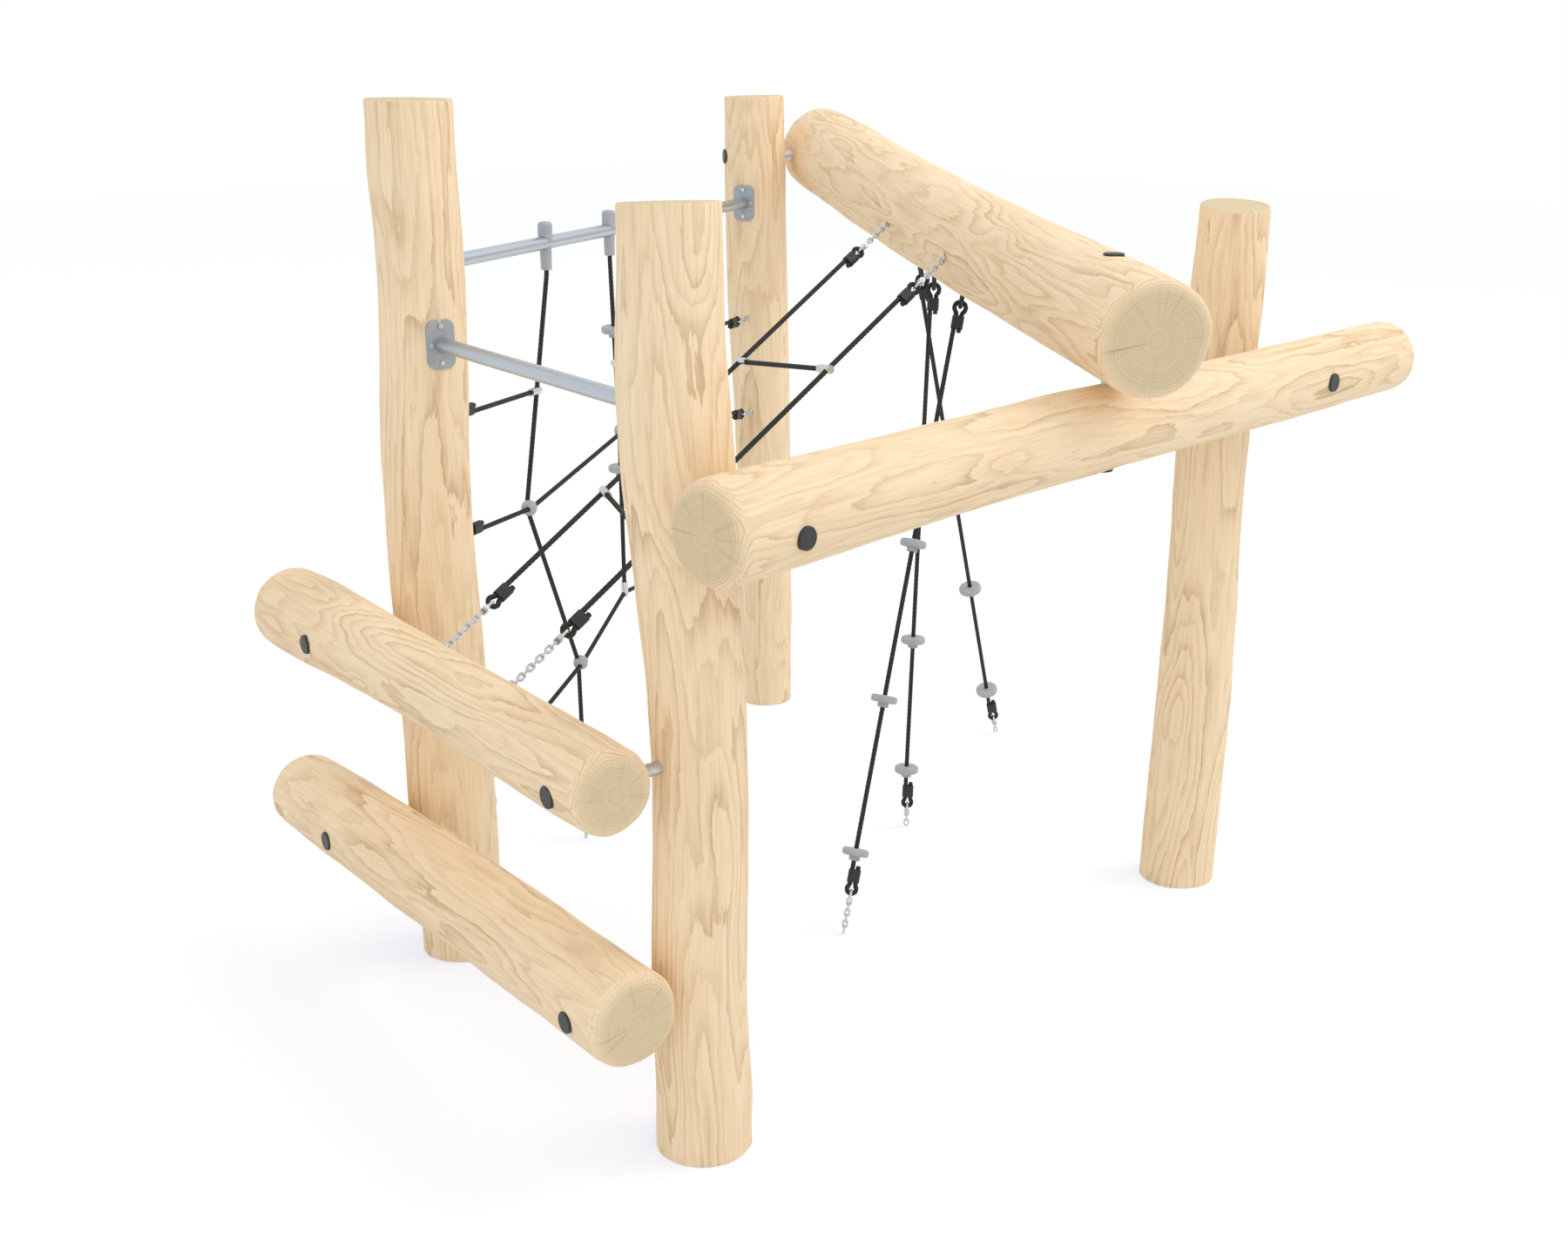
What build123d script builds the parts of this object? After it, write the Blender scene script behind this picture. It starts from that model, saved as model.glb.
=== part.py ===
from build123d import *
import os
from math import asin, cos, degrees, sin, sqrt

# Climbing frame of debarked robinia logs, steel bars and steel-cored rope.
# Millimetres, +Z up. The origin is the middle of the front post's foot on the ground,
# +X runs from the front post to the right post, +Y towards the back post.

# Posts: foot on the ground, how far the top leans from it, length, and the form.
# A form is a list of (share of the length, shift along the log's bow, radius).
post_bow = Vector(0.693, -0.721, 0)

post_left_foot = Vector(209, 1382, 0)
post_left_lean = Vector(21, -33, 0)
post_left_height = 2587
post_left_form = [(0.00, 53, 130), (0.12, 40, 131), (0.29, 23, 131), (0.41, 12, 128),
                  (0.54, 0, 127), (0.70, 1, 125), (0.84, 3, 123), (1.00, -2, 118)]

post_front_foot = Vector(0, 0, 0)
post_front_lean = Vector(-48, 7, 0)
post_front_height = 2400
post_front_form = [(0.00, 0, 122), (0.15, 8, 121), (0.32, 20, 119), (0.47, 27, 117),
                   (0.61, 18, 124), (0.71, 6, 131), (0.80, -4, 131), (0.90, -6, 123),
                   (1.00, -4, 118)]

post_back_foot = Vector(2580, 2281, 0)
post_back_lean = Vector(-35, 33, 0)
post_back_height = 2531
post_back_form = [(0.00, -6, 110), (0.20, 2, 110), (0.40, 7, 112), (0.60, 1, 120),
                  (0.80, -2, 124), (1.00, 0, 118)]

post_right_foot = Vector(2264, 0, 0)
post_right_lean = Vector(30, -24, 0)
post_right_height = 2256
post_right_form = [(0.00, -2, 123), (0.20, 5, 124), (0.45, 3, 116), (0.65, -4, 112),
                   (0.85, -1, 113), (1.00, 3, 106)]

post_top_chamfer = 5
post_front_top_tilt = 4
post_right_top_tilt = 7

# Beams: height of the bolts, how far the log's middle lies above them, overhangs past
# the bolts, clear gap to the post at each bolt, and the form as for the posts.
beam_front_bolt_heights = (1703, 1752)
beam_front_rises = (19, 2)
beam_front_overhangs = (195, 545)
beam_front_gaps = (26, 58)
beam_front_form = [(0.00, 0, 124), (0.08, 2, 122), (0.25, 8, 117), (0.42, 10, 115),
                   (0.60, 5, 114), (0.80, 0, 113), (1.00, 0, 112)]
beam_front_end_rounding = 34

side_upper_bolt_heights = (1078, 1083)
side_upper_rises = (19, 2)
side_upper_overhangs = (130, 420)
side_upper_gaps = (88, 45)
side_upper_form = [(0.00, 0, 106), (0.10, 0, 109), (0.35, 4, 109), (0.60, 5, 112),
                   (0.78, 0, 123), (0.90, -3, 128), (1.00, -6, 122)]

side_lower_bolt_heights = (479, 465)
side_lower_rises = (12, 2)
side_lower_overhangs = (130, 450)
side_lower_gaps = (24, 33)
side_lower_form = [(0.00, 0, 122), (0.10, 2, 124), (0.35, 6, 126), (0.60, 4, 127),
                   (0.80, 0, 126), (1.00, -4, 120)]
side_end_rounding = 36

# Diagonal beam: bolted down on the front beam and across to the back post.
diagonal_seat_share = 0.485
diagonal_seat_gap = 28
diagonal_back_bolt_height = 2300
diagonal_back_drop = 15
diagonal_back_gap = 35
diagonal_overhangs = (300, 190)
diagonal_form = [(0.00, 0, 155), (0.10, 0, 157), (0.30, -9, 159), (0.50, -13, 161),
                 (0.70, -6, 163), (0.87, 8, 167), (1.00, 14, 162)]
diagonal_end_rounding = 32

# Log bolts.
rod_diameter = 16
rod_bore = 18
rod_past_nut = 2.5
nut_across_flats = 24
nut_height = 13
washer_diameter = 44
washer_bore = 17
washer_thickness = 3
cap_diameter = 56
cap_height = 22
cap_wall = 3
cap_edge = 4
cap_seat_diameter = 60
cap_seat_depth = 16
sleeve_diameter = 34
sleeve_bore = 17
sleeve_seat_diameter = 38
sleeve_seat_depth = 8

# Steel bars between the posts and the flanges that hold them.
bar_diameter = 42.4
bar_wall = 2.6
bar_lower_height = 1924
bar_upper_height = 2125
flange_width = 84
flange_height = 140
flange_corner = 26
flange_thickness = 12
flange_seat_depth = 7.5
flange_slot_width = 10
flange_slot_depth = 23
flange_slot_mouth = 4
collar_diameter = 50
collar_height = 5
flange_screw_spread = 33
flange_screw_drop = 52
screw_head_diameter = 14
screw_head_height = 5
screw_diameter = 8
screw_bore = 8.6
screw_length = 70
fit_clearance = 0.3
thread_clearance = 0.1

# Rope and its steel fittings.
rope_diameter = 16
rope_bore = 16.6
rope_kink_radius = 30
tail_spacing = 18
neck_radius = 15
neck_length = 4
eye_radius = 15
hanger_eye_radius = 19
press_ferrule_length = 42
press_ferrule_wall = 2.6
tail_stub = 12
shackle_wire = 8
shackle_half_width = 12.5
shackle_leg = 20
shackle_lug_diameter = 17
shackle_lug_thickness = 9
shackle_pin_diameter = 8
shackle_pin_bore = 8.6
shackle_pin_head_diameter = 14
shackle_pin_head_height = 4
chain_wire = 6
chain_inner_width = 8.6
chain_inner_length = 18.5
chain_slack = 0.4
screw_eye_wire = 8
screw_eye_radius = 11
screw_eye_shank = 10
screw_eye_depth = 70
eye_recess_diameter = 36
eye_recess_floor = 2
tee_diameter = 26
tee_outer_length = 14
tee_inner_length = 41
tee_wall = 8
clamp_diameter = 50
clamp_thickness = 46
clamp_rounding = 18
clamp_bore = 17.6
disc_diameter = 86
disc_thickness = 24
disc_edge = 8
disc_hub_diameter = 36
disc_hub_height = 15
hanger_diameter = 14
hanger_half_width = 15.8
hanger_depth = 70

# Rope fittings on the upper bar.
bar_cap_diameter = 47
bar_cap_height = 45
bar_cap_dome = 12
bar_sleeve_top_diameter = 39
bar_sleeve_bottom_diameter = 35
bar_sleeve_length = 64
bar_rope_insertion = 24
bar_sleeve_saddle = 8
bar_bend_drop = 14
bar_bend_radius = 80

# Net between the left and the back post: places along the upper bar's line and heights.
net_front_offset = rope_diameter + 1
first_drop = 745
second_drop = 1196
first_tee_height = 1665
first_upper_cross = (553, 1300)
first_lower_cross = (868, 675)
first_ground = 880
second_tee_height = 1668
second_cross = (1233, 1425)
second_disc_heights = (1785, 1288)
second_foot_tee = (1241, 826)
net_row_heights_left = (1677, 1309, 471)
net_row_heights_right = (1668, 1281, 759)
net_side_links_left = 2
net_side_links_right = 4
net_ground_links = 3

# Ladder of two ropes from the upper side beam to the diagonal beam.
# Places along the two beams, counted from their front bolts.
ladder_low_places = (851, 470)
ladder_low_angle = 36
ladder_high_places = (1527, 913)
ladder_high_angle = 3
ladder_low_links = (9, 10)
ladder_high_links = (9, 8)
ladder_rung_reach = ((702, 560), (1396, 1386))

# Ropes that hang under the diagonal beam: place along it from its front bolt, foot on
# the ground, links in the ground chain and the heights of the step discs.
hanging_places = (1226, 1519, 1662)
hanging_feet = (Vector(1125, 518, 0), Vector(1923, 930, 0), Vector(2922, 1289, 0))
hanging_links = (6, 3, 3)
hanging_disc_heights = ((1181, 708, 247), (700, 219), (693, 214))
hanging_eye_drop = 52
ground_tip_height = 2
sight_line = Vector(0.688, 0.661, -0.301)
up = Vector(0, 0, 1)


def between(low, high, share):
    """Value a share of the way from low to high."""
    return low + (high - low) * share


def level(vector):
    """Horizontal unit vector under a vector."""
    return Vector(vector.X, vector.Y, 0).normalized()


class Log:
    """A straight line from start to end, bowed one way, with a radius that changes."""

    def __init__(self, start, end, bow, form):
        self.start = start
        self.end = end
        self.bow = bow
        self.form = form
        self.length = (end - start).length
        self.along = (end - start).normalized()

    def at(self, share):
        """Middle of the log and its radius at a share of the length."""
        share = min(max(share, 0), 1)
        for (s0, shift0, r0), (s1, shift1, r1) in zip(self.form, self.form[1:]):
            if share <= s1:
                part = (share - s0) / (s1 - s0)
                middle = between(self.start, self.end, share)
                shift = between(shift0, shift1, part)
                return middle + self.bow * shift, between(r0, r1, part)

    def at_height(self, height):
        """Middle and radius of a standing log at a height."""
        return self.at((height - self.start.Z) / (self.end.Z - self.start.Z))


def post(foot, lean, height, form):
    """A standing log on its foot."""
    return Log(foot, foot + lean + up * height, post_bow, form)


log_left = post(post_left_foot, post_left_lean, post_left_height, post_left_form)
log_front = post(post_front_foot, post_front_lean, post_front_height, post_front_form)
log_back = post(post_back_foot, post_back_lean, post_back_height, post_back_form)
log_right = post(post_right_foot, post_right_lean, post_right_height, post_right_form)


def beam_on_posts(first, second, heights, rises, overhangs, gaps, form):
    """A log bolted to the outside of two posts, and its two bolt lines.

    A bolt line is (middle of the inner log, middle of the outer log at the bolt's
    height, both radii). The outside is on the right, seen from first to second.
    """
    posts = [log.at_height(height) for log, height in zip((first, second), heights)]
    along = level(posts[1][0] - posts[0][0])
    outward = along.cross(up)
    run = (posts[1][0] - posts[0][0]).length
    whole = overhangs[0] + run + overhangs[1]
    shares = (overhangs[0] / whole, (overhangs[0] + run) / whole)
    flat_log = Log(Vector(0, 0, 0), along * whole, up, form)
    radii = [flat_log.at(share)[1] for share in shares]
    bolts = []
    seats = []
    for (middle, radius), beam_radius, gap, rise in zip(posts, radii, gaps, rises):
        outer = middle + outward * (radius + gap + beam_radius)
        bolts.append((middle, outer, radius, beam_radius))
        seats.append(outer + up * rise)
    line = (seats[1] - seats[0]).normalized()
    start = seats[0] - line * overhangs[0]
    end = seats[1] + line * overhangs[1]
    return Log(start, end, up, form), bolts


log_beam_front, front_bolts = beam_on_posts(
    log_front, log_right, beam_front_bolt_heights, beam_front_rises,
    beam_front_overhangs, beam_front_gaps, beam_front_form)


def side_beam(heights, rises, overhangs, gaps, form):
    """A log bolted to the outside of the left and front posts, counted from the front."""
    log, bolts = beam_on_posts(
        log_left, log_front, heights[::-1], rises[::-1], overhangs[::-1], gaps[::-1],
        [(1 - share, shift, radius) for share, shift, radius in form[::-1]])
    return Log(log.end, log.start, up, form), bolts


log_side_upper, side_upper_bolts = side_beam(
    side_upper_bolt_heights, side_upper_rises, side_upper_overhangs, side_upper_gaps,
    side_upper_form)
log_side_lower, side_lower_bolts = side_beam(
    side_lower_bolt_heights, side_lower_rises, side_lower_overhangs, side_lower_gaps,
    side_lower_form)


def diagonal_beam():
    """The log from the front beam's middle to the right of the back post, and its bolts."""
    seat, seat_radius = log_beam_front.at(diagonal_seat_share)
    back, back_radius = log_back.at_height(diagonal_back_bolt_height)
    run = level(back - seat)
    whole = diagonal_overhangs[0] + (back - seat).length + diagonal_overhangs[1]
    flat_log = Log(Vector(0, 0, 0), run * whole, up, diagonal_form)
    front_radius = flat_log.at(diagonal_overhangs[0] / whole)[1]
    rear_radius = flat_log.at(1 - diagonal_overhangs[1] / whole)[1]
    reach = back_radius + diagonal_back_gap + rear_radius
    turn = asin(reach / (back - seat).length)
    run = run.rotate(Axis.Z, -degrees(turn))
    across = run.cross(up)
    front_middle = seat + up * (seat_radius + diagonal_seat_gap + front_radius)
    rear_bolt = back + across * reach
    rear_middle = rear_bolt - up * diagonal_back_drop
    line = (rear_middle - front_middle).normalized()
    log = Log(front_middle - line * diagonal_overhangs[0],
              rear_middle + line * diagonal_overhangs[1], up, diagonal_form)
    bolts = [(seat, front_middle, seat_radius, front_radius),
             (back, rear_bolt, back_radius, rear_radius)]
    return log, bolts


log_diagonal, diagonal_bolts = diagonal_beam()

# Each bolt with the two logs that it joins.
bolt_lines = {
    "front": list(zip(front_bolts, ((log_front, log_beam_front),
                                    (log_right, log_beam_front)))),
    "side_upper": list(zip(side_upper_bolts, ((log_left, log_side_upper),
                                              (log_front, log_side_upper)))),
    "side_lower": list(zip(side_lower_bolts, ((log_left, log_side_lower),
                                              (log_front, log_side_lower)))),
    "diagonal": list(zip(diagonal_bolts, ((log_beam_front, log_diagonal),
                                          (log_back, log_diagonal)))),
}


class BoltLine:
    """Faces along one log bolt, counted from the inner log's middle."""

    def __init__(self, inner, outer, inner_radius, outer_radius):
        self.origin = inner
        self.direction = (outer - inner).normalized()
        run = (outer - inner).length
        self.inner_cap_seat = -(inner_radius - cap_seat_depth)
        self.inner_sleeve_seat = inner_radius - sleeve_seat_depth
        self.outer_sleeve_seat = run - outer_radius + sleeve_seat_depth
        self.outer_cap_seat = run + outer_radius - cap_seat_depth
        self.middle_of_gap = (self.inner_sleeve_seat + self.outer_sleeve_seat) / 2

    def plane(self, distance, outward=1):
        """Plane across the bolt, facing along it or back."""
        return Plane(origin=self.origin + self.direction * distance,
                     z_dir=self.direction * outward)


bolt_sites = [(BoltLine(*bolt), logs) for pair in bolt_lines.values() for bolt, logs in pair]

# Bars: the line between two posts' middles at the bar's height.
class BarLine:
    """A bar between two posts, with its flange planes."""

    def __init__(self, first, second, height):
        self.first, first_radius = first.at_height(height)
        self.second, second_radius = second.at_height(height)
        self.along = (self.second - self.first).normalized()
        self.across = self.along.cross(up)
        self.seats = ((first, self.first + self.along * (first_radius - flange_seat_depth),
                       self.along),
                      (second, self.second - self.along * (second_radius - flange_seat_depth),
                       self.along * -1))
        self.length = (self.seats[1][1] - self.seats[0][1]).length

    def flange_planes(self, log=None):
        """Flange seats on one post, or on both. The plane's x runs level, its y up."""
        return [Plane(origin=seat, x_dir=up.cross(facing), z_dir=facing)
                for owner, seat, facing in self.seats if log is None or owner is log]


bar_line_lower = BarLine(log_left, log_front, bar_lower_height)
bar_line_upper = BarLine(log_left, log_back, bar_upper_height)
bar_lines = (bar_line_lower, bar_line_upper)
flange_screw_places = ((flange_screw_spread, 0), (-flange_screw_spread, 0),
                       (0, flange_screw_drop), (0, -flange_screw_drop))


class RopeEnd:
    """One end of a rope: eye, press ferrule, shackle and a chain to an anchor.

    anchor is the middle of the last wire that the chain pulls on, start is a point on
    the rope's own line, and loop_normal is the way that the eye faces.
    """

    def __init__(self, anchor, start, loop_normal, links, shackled=True):
        self.anchor = anchor
        self.links = links
        radius = eye_radius if shackled else hanger_eye_radius
        self.radius = radius
        self.out = (anchor - start).normalized()
        for _ in range(3):
            self.side = self.out.cross(loop_normal).normalized()
            line_end = anchor - self.side * (tail_spacing / 2)
            self.out = (line_end - start).normalized()
        self.normal = self.out.cross(self.side).normalized()
        spread = tail_spacing / 2 + neck_radius
        self.neck_rise = sqrt((neck_radius + radius) ** 2 - spread ** 2)
        self.eye_middle = neck_length + self.neck_rise
        self.eye_top = self.eye_middle + radius
        self.pin_reach = self.eye_top + shackle_leg
        if shackled:
            pull = self.pin_reach + chain_run(links)
        else:
            pull = self.eye_top
        self.end = line_end - self.out * pull

    def at(self, across, out):
        """Point beside and beyond the end of the press ferrule."""
        return self.end + self.side * across + self.out * out

    def eye_edges(self):
        """Draw the rope from the ferrule round the eye and back through the ferrule."""
        half = tail_spacing / 2
        turn = asin(self.neck_rise / (neck_radius + self.radius))
        flare = neck_radius * (1 - cos(turn))
        middle = self.eye_middle
        leave = self.at(-flare, neck_length + neck_radius * sin(turn))
        arrive = self.at(tail_spacing + flare, neck_length + neck_radius * sin(turn))
        bend = neck_radius * (1 - cos(turn / 2))
        rise = neck_length + neck_radius * sin(turn / 2)
        Line(self.end, self.at(0, neck_length))
        ThreePointArc(self.at(0, neck_length), self.at(-bend, rise), leave)
        ThreePointArc(leave, self.at(half, middle + self.radius), arrive)
        ThreePointArc(arrive, self.at(tail_spacing + bend, rise),
                      self.at(tail_spacing, neck_length))
        Line(self.at(tail_spacing, neck_length),
             self.at(tail_spacing, -press_ferrule_length - tail_stub))


def chain_run(links):
    """Distance from a shackle pin's middle to the middle of the wire that a chain ends on."""
    grip = (shackle_pin_diameter + screw_eye_wire) / 2 + chain_slack
    return links * chain_inner_length - (links - 1) * chain_slack - grip


def post_anchor(log, height, towards):
    """Anchor wire just outside a post's face, on the side that faces a point."""
    middle, radius = log.at_height(height)
    return middle + level(towards - middle) * (radius + screw_eye_wire / 2)


net_origin = Vector(bar_line_upper.first.X, bar_line_upper.first.Y, 0)
net_along = level(bar_line_upper.along)
net_front = net_along.cross(up)


def net_point(place, offset=0):
    """Point of the net from its place along the bar and its height."""
    return net_origin + net_along * place[0] + up * place[1] + net_front * offset


def ground_anchor(foot, start):
    """Point on a chain's line where the next wire would lie, below its last link."""
    down = (foot - start).normalized()
    return foot + up * ground_tip_height - down * (chain_wire + screw_eye_wire / 2)




def on_rope(first, second, height):
    """Point at a height on the straight run between two points."""
    return between(first, second, (height - first.Z) / (second.Z - first.Z))


# Ropes of the net. Each route is a list of corners from one end of the rope to the other.
bar_top = bar_upper_height + bar_diameter / 2
bar_underside = bar_upper_height - bar_diameter / 2
bend_height = bar_underside - bar_sleeve_length - bar_bend_drop
first_top = net_point((first_drop, bar_top + bar_rope_insertion))
first_bend = net_point((first_drop, bend_height))
first_upper = net_point(first_upper_cross)
first_lower = net_point(first_lower_cross)
first_tee = on_rope(first_bend, first_upper, first_tee_height)
second_top = net_point((second_drop, bar_top + bar_rope_insertion))
second_bend = net_point((second_drop, bend_height))
second_middle = net_point(second_cross)
second_tee = on_rope(second_bend, second_middle, second_tee_height)
second_foot = net_point(second_foot_tee)
middle_left = net_point(first_upper_cross, net_front_offset)
middle_right = net_point(second_cross, net_front_offset)
lower_left = net_point(first_lower_cross, net_front_offset)


def side_end(log, height, start, links):
    """Rope end on a post, for a rope that comes from start."""
    return RopeEnd(post_anchor(log, height, start), start, net_front, links)


end_first_ground = RopeEnd(ground_anchor(net_point((first_ground, 0)), first_lower),
                           first_lower, net_front, net_ground_links)
left_ends = [side_end(log_left, height, start, net_side_links_left)
             for height, start in zip(net_row_heights_left, (first_tee, middle_left, lower_left))]
right_ends = [side_end(log_back, height, start, net_side_links_right)
              for height, start in zip(net_row_heights_right,
                                       (second_tee, middle_right, second_foot))]
net_ends = [end_first_ground] + left_ends + right_ends
tee_rope_start = rope_bore / 2 + tee_wall


def past_tee(tee, towards):
    """Where a rope that is swaged into a tee ends, beside the rope through the tee."""
    return tee + (towards - tee).normalized() * tee_rope_start


net_routes = {
    "first": [first_top, first_bend, first_upper, first_lower, end_first_ground.end],
    "second": [second_top, second_bend, second_middle, past_tee(second_foot, second_middle)],
    "upper_left": [past_tee(first_tee, left_ends[0].end), left_ends[0].end],
    "upper_right": [past_tee(second_tee, right_ends[0].end), right_ends[0].end],
    "middle": [left_ends[1].end, middle_left, middle_right, right_ends[1].end],
    "lower": [left_ends[2].end, lower_left, second_foot, right_ends[2].end],
}
net_route_ends = {
    "first": [end_first_ground],
    "second": [],
    "upper_left": [left_ends[0]],
    "upper_right": [right_ends[0]],
    "middle": [left_ends[1], right_ends[1]],
    "lower": [left_ends[2], right_ends[2]],
}


def kink_radii(name):
    """Bend radius at each corner inside a net rope's route."""
    inside = len(net_routes[name]) - 2
    hung = name in ("first", "second")
    return [bar_bend_radius if hung and index == 0 else rope_kink_radius
            for index in range(inside)]


# Ladder ropes and hanging ropes: straight between two anchors.
def straight_ends(low_anchor, high_anchor, low_links, high_links):
    """Both ends of a straight rope. The rope runs beside the line between its anchors."""
    side = (low_anchor - high_anchor).cross(sight_line).normalized()
    offset = side * (tail_spacing / 2)
    low = RopeEnd(low_anchor, high_anchor - offset, sight_line, low_links)
    high = RopeEnd(high_anchor, low_anchor - offset, sight_line * -1, high_links,
                   shackled=high_links > 0)
    return low, high


def beam_place(log, place, overhang):
    """Middle and radius of a beam at a distance from its front bolt."""
    return log.at((overhang + place) / log.length)


side_inward = level(log_side_upper.along).cross(up)
diagonal_across = level(log_diagonal.along).cross(up)


def ladder_low_anchor(place):
    """Anchor on the shoulder of the upper side beam."""
    middle, radius = beam_place(log_side_upper, place, side_upper_overhangs[0])
    facing = up.rotate(Axis((0, 0, 0), up.cross(side_inward)), ladder_low_angle)
    return middle + facing * (radius + screw_eye_wire / 2)


def ladder_high_anchor(place):
    """Anchor on the left flank of the diagonal beam."""
    middle, radius = beam_place(log_diagonal, place, diagonal_overhangs[0])
    facing = (diagonal_across * -1).rotate(Axis((0, 0, 0), up.cross(diagonal_across)),
                                           -ladder_high_angle)
    return middle + facing * (radius + screw_eye_wire / 2)


ladder_ends = [straight_ends(ladder_low_anchor(low), ladder_high_anchor(high), *links)
               for low, high, links in zip(ladder_low_places, ladder_high_places,
                                           zip(ladder_low_links, ladder_high_links))]
ladder_lines = [(low.end, high.end) for low, high in ladder_ends]


def ladder_point(rope, reach):
    """Point of a ladder rope at a distance from its lower anchor."""
    low, high = ladder_ends[rope]
    along = (high.end - low.end).normalized()
    return low.end + along * (reach - low.pin_reach - chain_run(low.links))


rung_lines = [(ladder_point(0, left), ladder_point(1, right))
              for left, right in ladder_rung_reach]


def hanging_anchor(place):
    """Where a hanging rope's eye is carried, under the diagonal beam."""
    middle, radius = beam_place(log_diagonal, place, diagonal_overhangs[0])
    return middle - up * (radius + hanging_eye_drop)


hanging_ends = []
for place, foot, links in zip(hanging_places, hanging_feet, hanging_links):
    top = hanging_anchor(place)
    hanging_ends.append(straight_ends(ground_anchor(foot, top), top, links, 0))

# Screw eyes in the logs: each rope end with the log that holds it.
screwed_ends = ([(end, log_left) for end in left_ends]
                + [(end, log_back) for end in right_ends]
                + [(low, log_side_upper) for low, _ in ladder_ends]
                + [(high, log_diagonal) for _, high in ladder_ends])
shackled_ends = {
    "net": net_ends,
    "ladder": [end for pair in ladder_ends for end in pair],
    "ground": [low for low, _ in hanging_ends],
}

os.makedirs("parts", exist_ok=True)


def save(part, label):
    """Label a finished piece and write it."""
    part.label = label
    export_step(part, "parts/" + label + ".step")


def gather(solids):
    """One part from separate solids."""
    with BuildPart() as group:
        add(solids)
    return group.part


def bar_between(first, second, radius):
    """Round bar between two points."""
    run = second - first
    with BuildPart() as bar:
        with BuildSketch(Plane(origin=first, z_dir=run)):
            Circle(radius)
        extrude(amount=run.length)
    return bar.part


def ring(plane, outer, inner, height):
    """Flat ring that stands on a plane."""
    with BuildPart() as tube:
        with BuildSketch(plane):
            Circle(outer / 2)
            Circle(inner / 2, mode=Mode.SUBTRACT)
        extrude(amount=height)
    return tube.part


# Logs
cut_past = 60
flange_seat_margin = 2


def log_cutters(log):
    """Everything that is bored or cut out of a log."""
    cutters = []
    for bolt, logs in bolt_sites:
        if log not in logs:
            continue
        if log is logs[0]:
            cap_plane = bolt.plane(bolt.inner_cap_seat, -1)
            sleeve_plane = bolt.plane(bolt.inner_sleeve_seat)
        else:
            cap_plane = bolt.plane(bolt.outer_cap_seat)
            sleeve_plane = bolt.plane(bolt.outer_sleeve_seat, -1)
        depth = (cap_plane.origin - sleeve_plane.origin).length
        for plane, diameter, reach in ((cap_plane, cap_seat_diameter, cut_past),
                                       (sleeve_plane, sleeve_seat_diameter, cut_past),
                                       (cap_plane, rod_bore, -depth - 1)):
            with BuildPart() as hole:
                with BuildSketch(plane):
                    Circle(diameter / 2)
                extrude(amount=reach)
            cutters.append(hole.part)
    for line in bar_lines:
        for plane in line.flange_planes(log):
            with BuildPart() as seat:
                with BuildSketch(plane):
                    Rectangle(flange_width + 2 * flange_seat_margin,
                              flange_height + 2 * flange_seat_margin)
                extrude(amount=cut_past)
                with BuildSketch(plane):
                    with Locations(*flange_screw_places):
                        Circle(screw_bore / 2)
                extrude(amount=-(screw_length - flange_thickness + 1))
            cutters.append(seat.part)
    floor = 2 * screw_eye_radius + screw_eye_wire / 2 + eye_recess_floor
    tip = 2 * screw_eye_radius + screw_eye_depth
    for end, owner in screwed_ends:
        if owner is log:
            cutters.append(bar_between(end.anchor - end.out * cut_past,
                                       end.anchor + end.out * floor, eye_recess_diameter / 2))
            cutters.append(bar_between(end.anchor, end.anchor + end.out * (tip + 1),
                                       screw_eye_shank / 2 + fit_clearance))
    if log is log_diagonal:
        for _, high in hanging_ends:
            for leg in (1, -1):
                foot = high.anchor + high.normal * hanger_half_width * leg
                cutters.append(bar_between(foot, foot + high.out * (hanger_length(high) + 1),
                                           hanger_diameter / 2 + fit_clearance))
    return cutters


def hanger_length(end):
    """Length of a hanger's legs: down from the beam to the eye, and into the wood."""
    return hanging_eye_drop / end.out.Z + hanger_depth


def log_part(log, end_facings, end_rounding=0, top_chamfer=0):
    """Turned log with its bores. end_facings gives the way that each end is cut."""
    x_dir = Vector(1, 0, 0) if log.bow is post_bow else log.along.cross(up).normalized()
    with BuildPart() as part:
        last = len(log.form) - 1
        for index, (share, _, _) in enumerate(log.form):
            middle, radius = log.at(share)
            facing = log.along
            if index in (0, last):
                facing = end_facings[index == last]
            with BuildSketch(Plane(origin=middle, x_dir=x_dir, z_dir=facing)):
                Circle(radius)
        loft()
        ends = part.faces().filter_by(GeomType.PLANE).sort_by(Axis(log.start, log.along))
        if end_rounding:
            fillet(ends[0].edges() + ends[-1].edges(), end_rounding)
        if top_chamfer:
            chamfer(ends[-1].edges(), top_chamfer)
        add(log_cutters(log), mode=Mode.SUBTRACT)
    return part.part


def tilted(log, degrees_forward):
    """Top cut of a post, tipped towards the viewer by an angle."""
    towards = level(sight_line) * -1
    return log.along.rotate(Axis((0, 0, 0), up.cross(towards)), degrees_forward)


def post_part(log, tilt=0):
    """Post with a level foot and a sawn top."""
    return log_part(log, (up, tilted(log, tilt)), top_chamfer=post_top_chamfer)


def beam_part(log, rounding):
    """Beam with large rounded ends."""
    return log_part(log, (log.along, log.along), end_rounding=rounding)


save(post_part(log_left), "post_left")
save(post_part(log_front, -post_front_top_tilt), "post_front")
save(post_part(log_back), "post_back")
save(post_part(log_right, post_right_top_tilt), "post_right")
save(beam_part(log_beam_front, beam_front_end_rounding), "beam_front")
save(beam_part(log_side_upper, side_end_rounding), "beam_side_upper")
save(beam_part(log_side_lower, side_end_rounding), "beam_side_lower")
save(beam_part(log_diagonal, diagonal_end_rounding), "beam_diagonal")

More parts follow.
